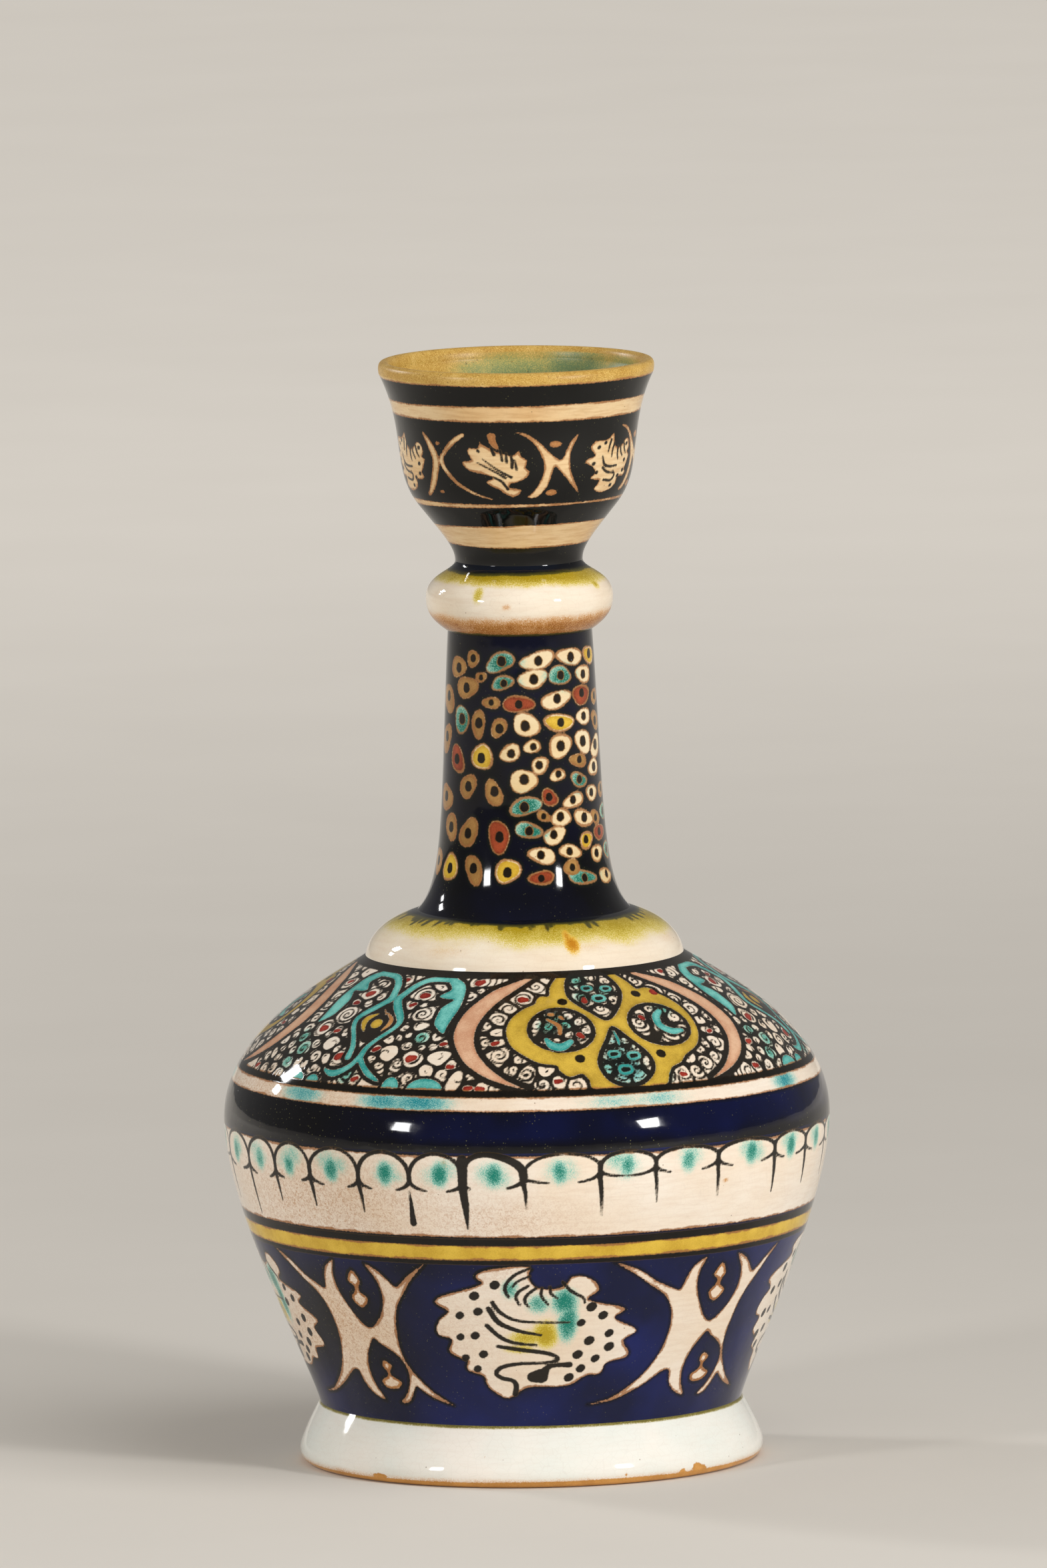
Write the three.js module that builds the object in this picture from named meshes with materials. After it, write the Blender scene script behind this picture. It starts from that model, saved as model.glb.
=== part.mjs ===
// Painted ceramic bottle: seven thrown sections luted together with slip.
// Millimetres, +Z up, origin at the middle of the foot's resting face.

import * as THREE from 'three';

// Sides of every turned piece, and steps along its outlines
const SEGMENTS = 44;
const bodySteps = 9;
const neckSteps = 9;
const smallSteps = 5;
const insideSteps = 6;
const rollSteps = 3;

// Heights of the thrown sections, from the table up
const footHeight = 16.4;
const bowlHeight = 77.6;
const shoulderHeight = 44.2;
const collarHeight = 12.2;
const neckHeight = 76.1;
const knopHeight = 19.0;
const stemHeight = 15.3;
const cupHeight = 39.2;

// Outer radii, from the table up
const footSeatRadius = 59.8;
const footRimRadius = 62.9;
const footTopRadius = 57.3;
const bellyRadius = 82.3;
const collarRootRadius = 43.2;
const neckRootRadius = 28.8;
const neckTopRadius = 19.6;
const knopRadius = 25.4;
const stemRadius = 17.3;
const cupBaseRadius = 26.9;
const lipRadius = 37.6;

// Thickness of the clay
const footWall = 8.0;
const floorThickness = 8.5;
const bodyWall = 5.2;
const collarWall = 9.6;
const neckRootWall = 6.4;
const neckWall = 4.4;
const stemWall = 4.6;
const cupWall = 3.1;

// Roll of the foot's lower edge, height of the knop's widest line, roll of the lip
const footRimHeight = 3.6;
const knopWidestHeight = 9.1;
const lipRollHeight = 3.6;
const lipOverhang = 0.4;
const lipThickness = 3.6;

// Cove between the floor and the wall of the bowl
const coveHeight = 9.0;
const coveWidth = 14.0;
const coveDraft = 4.5;

// Luted joint: a tongue on the lower rim stands in a rebate of the upper one, and slip fills it
const tongueThickness = 1.7;
const tongueHeight = 2.6;
const slipThickness = 1.0;
const jointClearance = 0.3;

// How far an outline runs on from its lower end and its upper end before it bends: [outward, upward]
const footBend = [[0, 2.8], [1.6, -3.4]];
const bowlBend = [[3.8, 12.7], [0, -24.1]];
const shoulderBend = [[0, 23.9], [9.0, -6.2]];
const collarBend = [[-1.3, 6.8], [7.0, -2.3]];
const neckBend = [[-7.7, 7.9], [2.6, -44.2]];
const knopLowerBend = [[4.8, 3.2], [0, -3.6]];
const knopUpperBend = [[0, 6.2], [0.2, -3.0]];
const stemBend = [[0, 3.6], [-6.8, -8.6]];
const cupBend = [[7.6, 9.7], [-7.4, -15.2]];

// Heights of the joints
const bowlBase = footHeight;
const bellyJoint = bowlBase + bowlHeight;
const collarJoint = bellyJoint + shoulderHeight;
const neckJoint = collarJoint + collarHeight;
const knopJoint = neckJoint + neckHeight;
const stemJoint = knopJoint + knopHeight;
const cupBase = stemJoint + stemHeight;
const lipTop = cupBase + cupHeight;

const cobaltGlaze = new THREE.MeshStandardMaterial({ color: 0x23305a, roughness: 0.2 });
const creamGlaze = new THREE.MeshStandardMaterial({ color: 0xe6e0cc, roughness: 0.22 });
const rawSlip = new THREE.MeshStandardMaterial({ color: 0xcfa876, roughness: 0.85 });

const point = (radius, height) => new THREE.Vector2(radius, height);

// Smooth outline between two ends, from the lower to the upper
function outline(lower, upper, [lowerRun, upperRun]) {
  return new THREE.CubicBezierCurve(
    point(...lower),
    point(lower[0] + lowerRun[0], lower[1] + lowerRun[1]),
    point(upper[0] + upperRun[0], upper[1] + upperRun[1]),
    point(...upper),
  );
}

// Rounded edge between two points, bent towards a third
const roll = (from, corner, to) => new THREE.QuadraticBezierCurve(from, corner, to);

// The outline moved in by the thickness of the clay, square to it, from the top down
function innerFace(curve, wall, steps, lowest, highest) {
  const face = [];
  for (let i = steps; i >= 0; i -= 1) {
    const at = curve.getPointAt(i / steps);
    const along = curve.getTangentAt(i / steps);
    const inside = point(at.x - along.y * wall, at.y + along.x * wall);
    if (inside.y > lowest && inside.y < highest) {
      face.push(inside);
    }
  }
  return face;
}

// Sizes of one luted joint, from the height and radius at which its lands meet
function lutedJoint(height, outerRadius, wall) {
  const innerRadius = outerRadius - wall;
  const tongueRadius = innerRadius + tongueThickness;
  const tongueTop = height + tongueHeight;
  const slipTop = tongueTop + slipThickness;
  return {
    height,
    innerRadius,
    tongueRadius,
    tongueTop,
    slipTop,
    rebateRadius: tongueRadius + jointClearance,
    rebateTop: slipTop + jointClearance,
  };
}

// Upper end of a section: its land, then the tongue that stands up inside it
const tongue = (joint) => [
  point(joint.tongueRadius, joint.height),
  point(joint.tongueRadius, joint.tongueTop),
  point(joint.innerRadius, joint.tongueTop),
];

// Root of a tongue, where the wall below it spreads outward
const tongueRoot = (joint) => point(joint.innerRadius, joint.height - tongueHeight);

// Lower end of a section: the rebate over the tongue, then its land
const rebate = (joint) => [
  point(joint.innerRadius, joint.rebateTop),
  point(joint.rebateRadius, joint.rebateTop),
  point(joint.rebateRadius, joint.height),
];

// A piece turned round the axis. Its profile goes up the outside and down the inside
function turned(name, profile, material) {
  const touchesAxis = profile[0].x === 0;
  const closed = touchesAxis ? profile : [...profile, profile[0]];
  const geometry = new THREE.LatheGeometry(closed, SEGMENTS);
  geometry.rotateX(Math.PI / 2);
  const mesh = new THREE.Mesh(geometry, material);
  mesh.name = name;
  return mesh;
}

// Ring of slip that sits on the tongue, flush with the inside
function slipRing(name, joint) {
  return turned(name, [
    point(joint.tongueRadius, joint.tongueTop),
    point(joint.tongueRadius, joint.slipTop),
    point(joint.innerRadius, joint.slipTop),
    point(joint.innerRadius, joint.tongueTop),
  ], rawSlip);
}

const footSeam = lutedJoint(bowlBase, footTopRadius, footWall);
const bellySeam = lutedJoint(bellyJoint, bellyRadius, bodyWall);
const collarSeam = lutedJoint(collarJoint, collarRootRadius, collarWall);
const neckSeam = lutedJoint(neckJoint, neckRootRadius, neckRootWall);
const knopSeam = lutedJoint(knopJoint, neckTopRadius, neckWall);
const stemSeam = lutedJoint(stemJoint, stemRadius, stemWall);

// Spreading foot with a rolled lower edge, hollow underneath
function footRing() {
  const rim = [footRimRadius, footRimHeight];
  const edge = roll(point(footSeatRadius, 0), point(footRimRadius, 0), point(...rim));
  const flare = outline(rim, [footTopRadius, footHeight], footBend);
  return turned('foot_ring', [
    ...edge.getPoints(rollSteps),
    ...flare.getSpacedPoints(smallSteps).slice(1),
    ...tongue(footSeam),
    point(footSeatRadius - footWall, 0),
  ], creamGlaze);
}

// Lower half of the body. Its floor is grooved underneath for the tongue of the foot
function lowerBowl() {
  const outer = outline([footTopRadius, bowlBase], [bellyRadius, bellyJoint], bowlBend);
  const floorTop = bowlBase + floorThickness;
  const wall = innerFace(outer, bodyWall, insideSteps, floorTop + coveHeight, bellyJoint - tongueHeight);
  const coveStart = wall[wall.length - 1];
  const coveEnd = point(coveStart.x - coveWidth, floorTop);
  const cove = roll(coveStart, point(coveStart.x - coveDraft, floorTop), coveEnd);
  const grooveInside = footSeam.innerRadius - jointClearance;
  return turned('lower_bowl', [
    point(0, bowlBase),
    point(grooveInside, bowlBase),
    point(grooveInside, footSeam.rebateTop),
    point(footSeam.rebateRadius, footSeam.rebateTop),
    point(footSeam.rebateRadius, bowlBase),
    ...outer.getSpacedPoints(bodySteps),
    ...tongue(bellySeam),
    ...wall,
    ...cove.getPoints(rollSteps).slice(1),
    point(0, floorTop),
  ], cobaltGlaze);
}

// Upper half of the body, closing in to the collar
function shoulder() {
  const outer = outline([bellyRadius, bellyJoint], [collarRootRadius, collarJoint], shoulderBend);
  return turned('shoulder', [
    ...outer.getSpacedPoints(bodySteps),
    ...tongue(collarSeam),
    tongueRoot(collarSeam),
    ...innerFace(outer, bodyWall, insideSteps, bellySeam.rebateTop, collarJoint - tongueHeight),
    ...rebate(bellySeam),
  ], cobaltGlaze);
}

// Rounded moulding between the shoulder and the neck
function collar() {
  const outer = outline([collarRootRadius, collarJoint], [neckRootRadius, neckJoint], collarBend);
  return turned('collar', [
    ...outer.getSpacedPoints(smallSteps + 1),
    ...tongue(neckSeam),
    tongueRoot(neckSeam),
    ...rebate(collarSeam),
  ], creamGlaze);
}

// Long neck, flared at its root
function neck() {
  const outer = outline([neckRootRadius, neckJoint], [neckTopRadius, knopJoint], neckBend);
  return turned('neck', [
    ...outer.getPoints(neckSteps),
    ...tongue(knopSeam),
    ...innerFace(outer, neckWall, insideSteps, neckSeam.rebateTop, knopJoint - tongueHeight),
    ...rebate(neckSeam),
  ], cobaltGlaze);
}

// Hollow knop, thrown as a bulge, so that its inside follows its outside
function knop() {
  const widest = [knopRadius, knopJoint + knopWidestHeight];
  const lower = outline([neckTopRadius, knopJoint], widest, knopLowerBend);
  const upper = outline(widest, [stemRadius, stemJoint], knopUpperBend);
  return turned('knop', [
    ...lower.getSpacedPoints(smallSteps - 1),
    ...upper.getSpacedPoints(smallSteps).slice(1),
    ...tongue(stemSeam),
    ...innerFace(upper, neckWall, rollSteps, widest[1], stemJoint - jointClearance),
    ...innerFace(lower, neckWall, rollSteps, knopSeam.rebateTop, widest[1]),
    ...rebate(knopSeam),
  ], creamGlaze);
}

// Flared stem and open cup, thrown as one, with a rolled lip
function mouthCup() {
  const wallTop = [lipRadius - lipOverhang, lipTop - lipRollHeight];
  const stem = outline([stemRadius, stemJoint], [cupBaseRadius, cupBase], stemBend);
  const cup = outline([cupBaseRadius, cupBase], wallTop, cupBend);
  const crest = point(lipRadius - lipThickness / 2, lipTop);
  const insideTop = point(wallTop[0] - cupWall, wallTop[1]);
  const outerRoll = roll(point(...wallTop), point(lipRadius + lipOverhang, lipTop), crest);
  const innerRoll = roll(crest, point(lipRadius - lipThickness, lipTop), insideTop);
  return turned('mouth_cup', [
    ...stem.getSpacedPoints(smallSteps),
    ...cup.getSpacedPoints(smallSteps + 1).slice(1),
    ...outerRoll.getPoints(rollSteps).slice(1),
    ...innerRoll.getPoints(rollSteps).slice(1),
    ...innerFace(cup, cupWall, smallSteps, cupBase, insideTop.y - lipRollHeight),
    ...innerFace(stem, stemWall, rollSteps, stemSeam.rebateTop, cupBase),
    ...rebate(stemSeam),
  ], cobaltGlaze);
}

const bottle = new THREE.Group();
bottle.add(
  footRing(),
  slipRing('foot_slip', footSeam),
  lowerBowl(),
  slipRing('belly_slip', bellySeam),
  shoulder(),
  slipRing('collar_slip', collarSeam),
  collar(),
  slipRing('neck_slip', neckSeam),
  neck(),
  slipRing('knop_slip', knopSeam),
  knop(),
  slipRing('cup_slip', stemSeam),
  mouthCup(),
);

export default bottle;
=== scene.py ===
# %% [markdown]
# # A painted ceramic bottle
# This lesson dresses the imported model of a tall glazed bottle. Every section of the real one was
# thrown, luted to its neighbours, painted by brush and covered with a clear glossy glaze. The model
# gives each section's place and size; here each gets a fine turned mesh and its painting.

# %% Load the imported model
import math
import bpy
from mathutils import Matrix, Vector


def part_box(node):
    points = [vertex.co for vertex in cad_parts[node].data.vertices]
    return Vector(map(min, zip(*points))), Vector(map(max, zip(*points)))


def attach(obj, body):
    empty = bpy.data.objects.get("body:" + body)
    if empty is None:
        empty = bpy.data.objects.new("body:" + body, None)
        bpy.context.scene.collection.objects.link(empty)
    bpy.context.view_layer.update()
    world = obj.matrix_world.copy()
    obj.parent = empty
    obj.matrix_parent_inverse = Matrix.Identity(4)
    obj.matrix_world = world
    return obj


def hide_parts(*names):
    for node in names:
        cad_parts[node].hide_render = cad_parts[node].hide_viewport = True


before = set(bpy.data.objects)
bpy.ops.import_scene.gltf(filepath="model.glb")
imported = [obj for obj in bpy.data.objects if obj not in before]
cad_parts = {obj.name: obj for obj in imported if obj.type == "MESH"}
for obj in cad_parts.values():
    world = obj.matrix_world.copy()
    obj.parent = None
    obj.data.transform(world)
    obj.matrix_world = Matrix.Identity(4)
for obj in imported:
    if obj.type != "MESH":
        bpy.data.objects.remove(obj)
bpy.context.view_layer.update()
from types import SimpleNamespace
import bpy
import numpy as np
from mathutils import Matrix, Vector
from mathutils.kdtree import KDTree

MM = 0.001
joint_height = {node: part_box(node)[0].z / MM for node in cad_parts}
lip_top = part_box("mouth_cup")[1].z / MM
print("sections:", ", ".join(sorted(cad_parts)))
print(f"height {lip_top:.1f} mm")

# %% [markdown]
# ## Camera
# A very long lens far away keeps the bottle almost free of perspective. The camera looks down by
# seven degrees and is rolled by a little under one, so that the bottle leans as in the picture.

# %% Camera
PICTURE_WIDTH, PICTURE_HEIGHT = 1568, 2349
FOOT_MIDDLE_AT = (796.5, 2180.0)
LENS_PIXELS, CAMERA_DISTANCE = 40000.0, 7250.0
CAMERA_ELEVATION, CAMERA_ROLL = math.radians(7.2), math.radians(0.83)
LOOK_AT = Vector((0, 0, 150.0))
SENSOR_HEIGHT, CLIP_END = 36.0, 200.0


def put_in_scene(name, data):
    made = bpy.data.objects.new(name, data)
    bpy.context.scene.collection.objects.link(made)
    return made


def place_camera():
    forward = Vector((0, math.cos(CAMERA_ELEVATION), -math.sin(CAMERA_ELEVATION)))
    level = Vector((1, 0, 0))
    upright = level.cross(forward)
    right = level * math.cos(CAMERA_ROLL) - upright * math.sin(CAMERA_ROLL)
    up = upright * math.cos(CAMERA_ROLL) + level * math.sin(CAMERA_ROLL)
    # Aim so that the middle of the foot falls on its place in the picture
    foot = -LOOK_AT
    depth = CAMERA_DISTANCE + foot.dot(forward)
    aside = PICTURE_WIDTH / 2 - FOOT_MIDDLE_AT[0] + LENS_PIXELS * foot.dot(right) / depth
    above = FOOT_MIDDLE_AT[1] - PICTURE_HEIGHT / 2 + LENS_PIXELS * foot.dot(up) / depth
    aim = (forward * LENS_PIXELS + right * aside + up * above).normalized()
    right = (right - aim * right.dot(aim)).normalized()
    data = bpy.data.cameras.new("camera")
    data.sensor_fit, data.sensor_height = "VERTICAL", SENSOR_HEIGHT
    data.lens = LENS_PIXELS * SENSOR_HEIGHT / PICTURE_HEIGHT
    data.clip_end = CLIP_END
    camera = put_in_scene("camera", data)
    place = (LOOK_AT - forward * CAMERA_DISTANCE) * MM
    turned_to = Matrix((right, right.cross(aim), -aim)).transposed()
    camera.matrix_world = Matrix.Translation(place) @ turned_to.to_4x4()
    bpy.context.scene.camera = camera
    return camera


camera = place_camera()
print(f"lens {camera.data.lens:.0f} mm at {camera.location.length:.2f} m")

# %% [markdown]
# ## Outlines
# A potter shapes each section with one sweep of the hand, so each outline is one or two cubic curves.
# Their ends sit on the joints of the model. Painting is laid out on the unrolled surface: degrees
# round the bottle from the front, and millimetres measured along the outline from its lower end.

# %% Outlines of the sections
FOOT_SEAT, FOOT_RIM, FOOT_RIM_HEIGHT, FOOT_TOP = 59.8, 62.9, 3.6, 57.3
BELLY, COLLAR_ROOT, NECK_ROOT, NECK_TOP = 82.3, 43.2, 28.8, 19.6
KNOP, KNOP_WIDEST, STEM, CUP_BASE, LIP = 25.4, 9.1, 17.3, 26.9, 37.6
FOOT_WALL, FLOOR, BODY_WALL, COLLAR_WALL = 8.0, 8.5, 5.2, 9.6
NECK_ROOT_WALL, NECK_WALL, STEM_WALL, CUP_WALL = 6.4, 4.4, 4.6, 3.1
CUP_BASE_ABOVE = 15.3
LIP_ROLL, LIP_OVERHANG, LIP_THICKNESS, LIP_INSIDE = 3.6, 0.4, 3.6, 1.5
TONGUE, TONGUE_HEIGHT, SLIP, CLEARANCE = 1.7, 2.6, 1.0, 0.3
REBATE_DEPTH = TONGUE_HEIGHT + SLIP + CLEARANCE


def outline(lower, upper, lower_run, upper_run, steps=400):
    """Smooth curve from the lower end to the upper one."""
    ends = np.array([lower, np.add(lower, lower_run), np.add(upper, upper_run), upper], float)
    t = np.linspace(0, 1, steps)[:, None]
    return np.hstack([(1 - t) ** 3, 3 * t * (1 - t) ** 2, 3 * t * t * (1 - t), t ** 3]) @ ends


def roll(start, corner, end, steps=60):
    """Rounded edge."""
    t = np.linspace(0, 1, steps)[:, None]
    return (1 - t) ** 2 * np.array(start) + 2 * t * (1 - t) * np.array(corner) + t * t * np.array(end)


def lengths_along(curve):
    steps = np.hypot(*np.diff(curve, axis=0).T)
    return np.concatenate([[0.0], np.cumsum(steps)])


def moved_in(curve, wall, count, low, high):
    """The inside of the wall between two heights, square to the outline, from the top down."""
    along = np.gradient(curve, axis=0)
    along /= np.hypot(*along.T)[:, None]
    inside = curve + wall * np.stack([-along[:, 1], along[:, 0]], axis=1)
    picked = inside[np.linspace(len(curve) - 1, 0, count).astype(int)]
    return [tuple(p) for p in picked if low < p[1] < high]


bowl_base, belly, collar_base, neck_base, knop_base, stem_base = (
    joint_height[node] for node in ("lower_bowl", "shoulder", "collar", "neck", "knop", "mouth_cup"))
cup_base = stem_base + CUP_BASE_ABOVE
knop_widest, foot_rim = (KNOP, knop_base + KNOP_WIDEST), (FOOT_RIM, FOOT_RIM_HEIGHT)
wall_top, crest = (LIP - LIP_OVERHANG, lip_top - LIP_ROLL), (LIP - LIP_THICKNESS / 2, lip_top)
inside_top = (wall_top[0] - CUP_WALL, wall_top[1])

foot_curve = np.vstack([roll((FOOT_SEAT, 0), (FOOT_RIM, 0), foot_rim),
                        outline(foot_rim, (FOOT_TOP, bowl_base), (0, 1.9), (3.3, -6.0))[1:]])
bowl_curve = outline((FOOT_TOP, bowl_base), (BELLY, belly), (3.8, 12.7), (0, -24.1))
shoulder_curve = outline((BELLY, belly), (COLLAR_ROOT, collar_base), (0, 23.9), (9.0, -6.2))
collar_curve = outline((COLLAR_ROOT, collar_base), (NECK_ROOT, neck_base), (-1.3, 6.8), (7.0, -2.3))
neck_curve = outline((NECK_ROOT, neck_base), (NECK_TOP, knop_base), (-7.7, 7.9), (2.6, -44.2))
knop_lower = outline((NECK_TOP, knop_base), knop_widest, (4.8, 3.2), (0, -3.6))
knop_upper = outline(knop_widest, (STEM, stem_base), (0, 6.2), (0.2, -3.0))
knop_curve = np.vstack([knop_lower, knop_upper[1:]])
stem_curve = outline((STEM, stem_base), (CUP_BASE, cup_base), (0, 3.6), (-6.8, -8.6))
cup_wall_curve = outline((CUP_BASE, cup_base), wall_top, (7.6, 9.7), (-7.4, -15.2))
lip_curve = np.vstack([roll(wall_top, (LIP + LIP_OVERHANG, lip_top), crest),
                       roll(crest, (LIP - LIP_THICKNESS, lip_top), inside_top)[1:]])
cup_inside = moved_in(cup_wall_curve, CUP_WALL, 60, 0, inside_top[1] - LIP_INSIDE)
cup_curve = np.vstack([stem_curve, cup_wall_curve[1:], lip_curve[1:], cup_inside])
print("outline lengths:", [round(lengths_along(c)[-1], 1) for c in (foot_curve, bowl_curve, shoulder_curve)])

# %% [markdown]
# ## Unrolled painting surface
# The painter works on the unrolled outside of a section. Each paint is a layer that holds, for every
# point of the mesh, how far the edge of that paint is, in millimetres and negative inside it. A distance
# keeps a brush edge sharp between the points of the mesh, and the glaze can fray it afterwards.

# %% Drawing helpers
NEARLY_A_TURN = 6.28


def unsteady(angle, seed):
    """Slow waver of a hand, between about -1 and 1, that closes after one turn."""
    random = np.random.default_rng(seed)
    waver = np.zeros_like(angle, float)
    for turns in (1, 2, 3, 5, 8, 13, 21):
        size = random.uniform(0.3, 1.0) / turns ** 0.5
        waver += size * np.sin(np.radians(turns * angle) + random.uniform(0, NEARLY_A_TURN))
    return waver / 2.0


def smooth(points, closed=False, steps=5):
    """A smooth run through the given points."""
    points = np.asarray(points, float)
    before, after = (points[-1], points[:2]) if closed else (
        2 * points[0] - points[1], 2 * points[-1:] - points[-2:-1])
    padded = np.vstack([before, points, after])
    t = np.linspace(0, 1, steps, endpoint=False)[:, None]
    run = [0.5 * (2 * p1 + (p2 - p0) * t + (2 * p0 - 5 * p1 + 4 * p2 - p3) * t ** 2
                  + (3 * p1 - p0 - 3 * p2 + p3) * t ** 3)
           for p0, p1, p2, p3 in zip(padded[:-3], padded[1:-2], padded[2:-1], padded[3:])]
    return np.vstack(run if closed else run + [points[-1:]])


def turned_by(points, angle, mirror=None, rise=0.0, stretch=1.0, middle=0.0):
    """The same drawing elsewhere on the bottle, mirrored about an angle if one is given."""
    points = np.array(points, float)
    if mirror is not None:
        points[:, 0] = 2 * mirror - points[:, 0]
    points[:, 0] = middle + (points[:, 0] - middle) * stretch + angle
    points[:, 1] += rise
    return points


def ring(angle, arc, across, along, count=20):
    """An oval. Its half width is in degrees, its half height in millimetres."""
    t = np.linspace(0, 2 * math.pi, count, endpoint=False)
    return np.stack([angle + across * np.cos(t), arc + along * np.sin(t)], axis=1)


def rows_of(*zones):
    """Heights of the mesh rows along the outline, from (start, end, spacing) zones."""
    parts = [np.linspace(a, b, max(2, round((b - a) / step) + 1))[:-1] for a, b, step in zones]
    return np.concatenate(parts + [[zones[-1][1]]])


print("corners of a small oval:", ring(0, 10, 5, 2, 4).round(1).tolist())

# %% Layers of paint
FAR = 4.0
STROKE_REACH = FAR + 2.0
PAINTS = ("ground", "ink", "yellow", "turquoise", "pink", "red", "tan")
# speckle browns the cream and blackens the cobalt: real crazing, and on the left side of bowl and shoulder
# painted shade
BLEEDS = ("speckle", "stain", "glow", "ochre", "wash", "rinse")
print(len(PAINTS), "paints with edges,", len(BLEEDS), "colours that bleed")


# %% Painting surface
def nearest(view, start, end):
    """From each mesh point in view to a straight run: x and y in mm, and how far along it, 0 to 1."""
    angle, arc, scale = view
    x, y = (start[0] - angle) * scale, start[1] - arc
    dx, dy = (end[0] - start[0]) * scale, end[1] - start[1]
    t = np.clip(-(x * dx + y * dy) / (dx * dx + dy * dy + 1e-9), 0, 1)
    return x + t * dx, y + t * dy, t


class Canvas:
    """The outside of one section: angle in degrees, arc and radius in millimetres."""

    def __init__(self, curve, arcs, columns):
        along = lengths_along(curve)
        self.length = along[-1]
        self.arc = np.clip(arcs, 0, self.length)
        self.radius = np.interp(self.arc, along, curve[:, 0])
        self.height = np.interp(self.arc, along, curve[:, 1])
        self.columns, self.step = columns, 360.0 / columns
        self.angle = np.arange(columns) * self.step - 180.0
        self.size = (len(self.arc), columns)
        self.paint = {name: np.full(self.size, FAR if name in PAINTS else 0.0) for name in PAINTS + BLEEDS}

    def window(self, points, reach):
        """Where the layers are within reach of the points, and the angles, arcs and mm per degree there."""
        points = np.asarray(points, float)
        low, high = points[:, 1].min() - reach, points[:, 1].max() + reach
        rows = np.nonzero((self.arc >= low) & (self.arc <= high))[0]
        aside = math.degrees(reach / self.radius[rows].min(initial=LIP + BELLY))
        first = math.floor((points[:, 0].min() - aside + 180.0) / self.step)
        last = math.ceil((points[:, 0].max() + aside + 180.0) / self.step)
        cols = np.arange(first, min(last, first + self.columns - 1) + 1)
        view = cols * self.step - 180.0, self.arc[rows][:, None], np.radians(self.radius[rows])[:, None]
        return np.ix_(rows, cols % self.columns), view

    def stroke(self, points):
        """Distance to a brush stroke. Each point is angle, arc, half the stroke's width."""
        place, view = self.window([p[:2] for p in points], STROKE_REACH)
        best = FAR
        for start, end in zip(points[:-1], points[1:]):
            x, y, t = nearest(view, start, end)
            best = np.minimum(best, np.hypot(x, y) - (start[2] + t * (end[2] - start[2])))
        return place, best

    def brush(self, points):
        """A stroke that runs smoothly through its points."""
        return self.stroke(smooth(points))

    def shape(self, points, steps=0):
        """Distance to the edge of a closed shape, negative inside, smoothed if steps are given."""
        points = smooth(points, closed=True, steps=steps) if steps else np.asarray(points, float)
        place, view = self.window(points, FAR)
        angle, arc, _ = view
        best, inside = FAR * FAR, False
        for (a0, s0), (a1, s1) in zip(points, np.roll(points, -1, axis=0)):
            x, y, _ = nearest(view, (a0, s0), (a1, s1))
            best = np.minimum(best, x * x + y * y)
            if s0 != s1:
                between = (s0 > arc) != (s1 > arc)
                inside = inside ^ (between & (angle < (a1 - a0) * (arc - s0) / (s1 - s0) + a0))
        return place, np.sqrt(best) * np.where(inside, -1.0, 1.0)

    def lay(self, name, mark, wider=0.0):
        """Adds a mark to a paint."""
        place, distance = mark
        self.paint[name][place] = np.minimum(self.paint[name][place], distance - wider)

    def spare(self, name, mark, margin=0.0):
        """Keeps a paint off a mark."""
        place, distance = mark
        self.paint[name][place] = np.maximum(self.paint[name][place], margin - distance)

    def band(self, name, low, high, waver, seed, lean=0.0, lean_to=0.0):
        """A stripe drawn while the bottle turns on the wheel. It may lean, highest at one angle."""
        middle, half = (low + high) / 2, (high - low) / 2
        shift = waver * unsteady(self.angle, seed) + lean * np.cos(np.radians(self.angle - lean_to))
        swell = waver * 0.5 * unsteady(self.angle, seed + 7)
        stripe = np.abs(self.arc[:, None] - middle - shift) - half - swell
        self.paint[name] = np.minimum(self.paint[name], stripe)

    def bleed(self, name, angle, arc, across, along, strength=1.0):
        """A soft patch of colour that ran in the glaze. Its half sizes are in millimetres."""
        turn = (self.angle - angle + 180.0) % 360.0 - 180.0
        x = turn * np.radians(self.radius)[:, None] / across
        y = (self.arc[:, None] - arc) / along
        self.soak(name, strength * np.exp(-(x * x + y * y)))

    def soak(self, name, amount):
        self.paint[name] = np.maximum(self.paint[name], amount)


# %% [markdown]
# ## Turned sections
# Each section of the bottle is a closed body of its own, as the potter's was before luting. The outside
# has fine rows and columns for the painting. The ends keep the tongue and the rebate of the luted joint,
# and the inside has few rows. Edges at the joints are kept sharp, so that the shine runs on unbroken.

# %% Turned mesh
AXIS = 1e-6
SHARP_BEND = math.radians(32)


def read_all(items, name, width=1):
    """One whole-number property of every item in a mesh."""
    values = np.zeros(len(items) * width, np.int32)
    items.foreach_get(name, values)
    return values


def turned_mesh(name, canvas, profile):
    """The closed profile turned round the axis, with its rows' first points and each point's row."""
    turn = np.radians(canvas.angle)
    around = np.stack([np.sin(turn), -np.cos(turn)], axis=1)
    wide = profile[:, 0] >= AXIS
    counts = np.where(wide, canvas.columns, 1)
    starts = np.cumsum(counts) - counts
    points = [np.column_stack([r * around[:n], np.full(n, z)]) for (r, z), n in zip(profile, counts)]
    column = np.arange(canvas.columns)
    following = (column + 1) % canvas.columns
    faces = []
    for i, low in enumerate(starts):
        j = (i + 1) % len(starts)
        high = starts[j]
        corners = [low + column, low + following] if wide[i] else [low + 0 * column]
        corners += [high + following, high + column] if wide[j] else [high + 0 * column]
        if wide[i] or wide[j]:
            faces += np.stack(corners, axis=1).tolist()
    mesh = bpy.data.meshes.new(name)
    mesh.from_pydata((np.vstack(points) * MM).tolist(), [], faces)
    mesh.update(calc_edges=True)
    mesh.shade_smooth()
    return mesh, starts, np.repeat(np.arange(len(profile)), counts)


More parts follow.
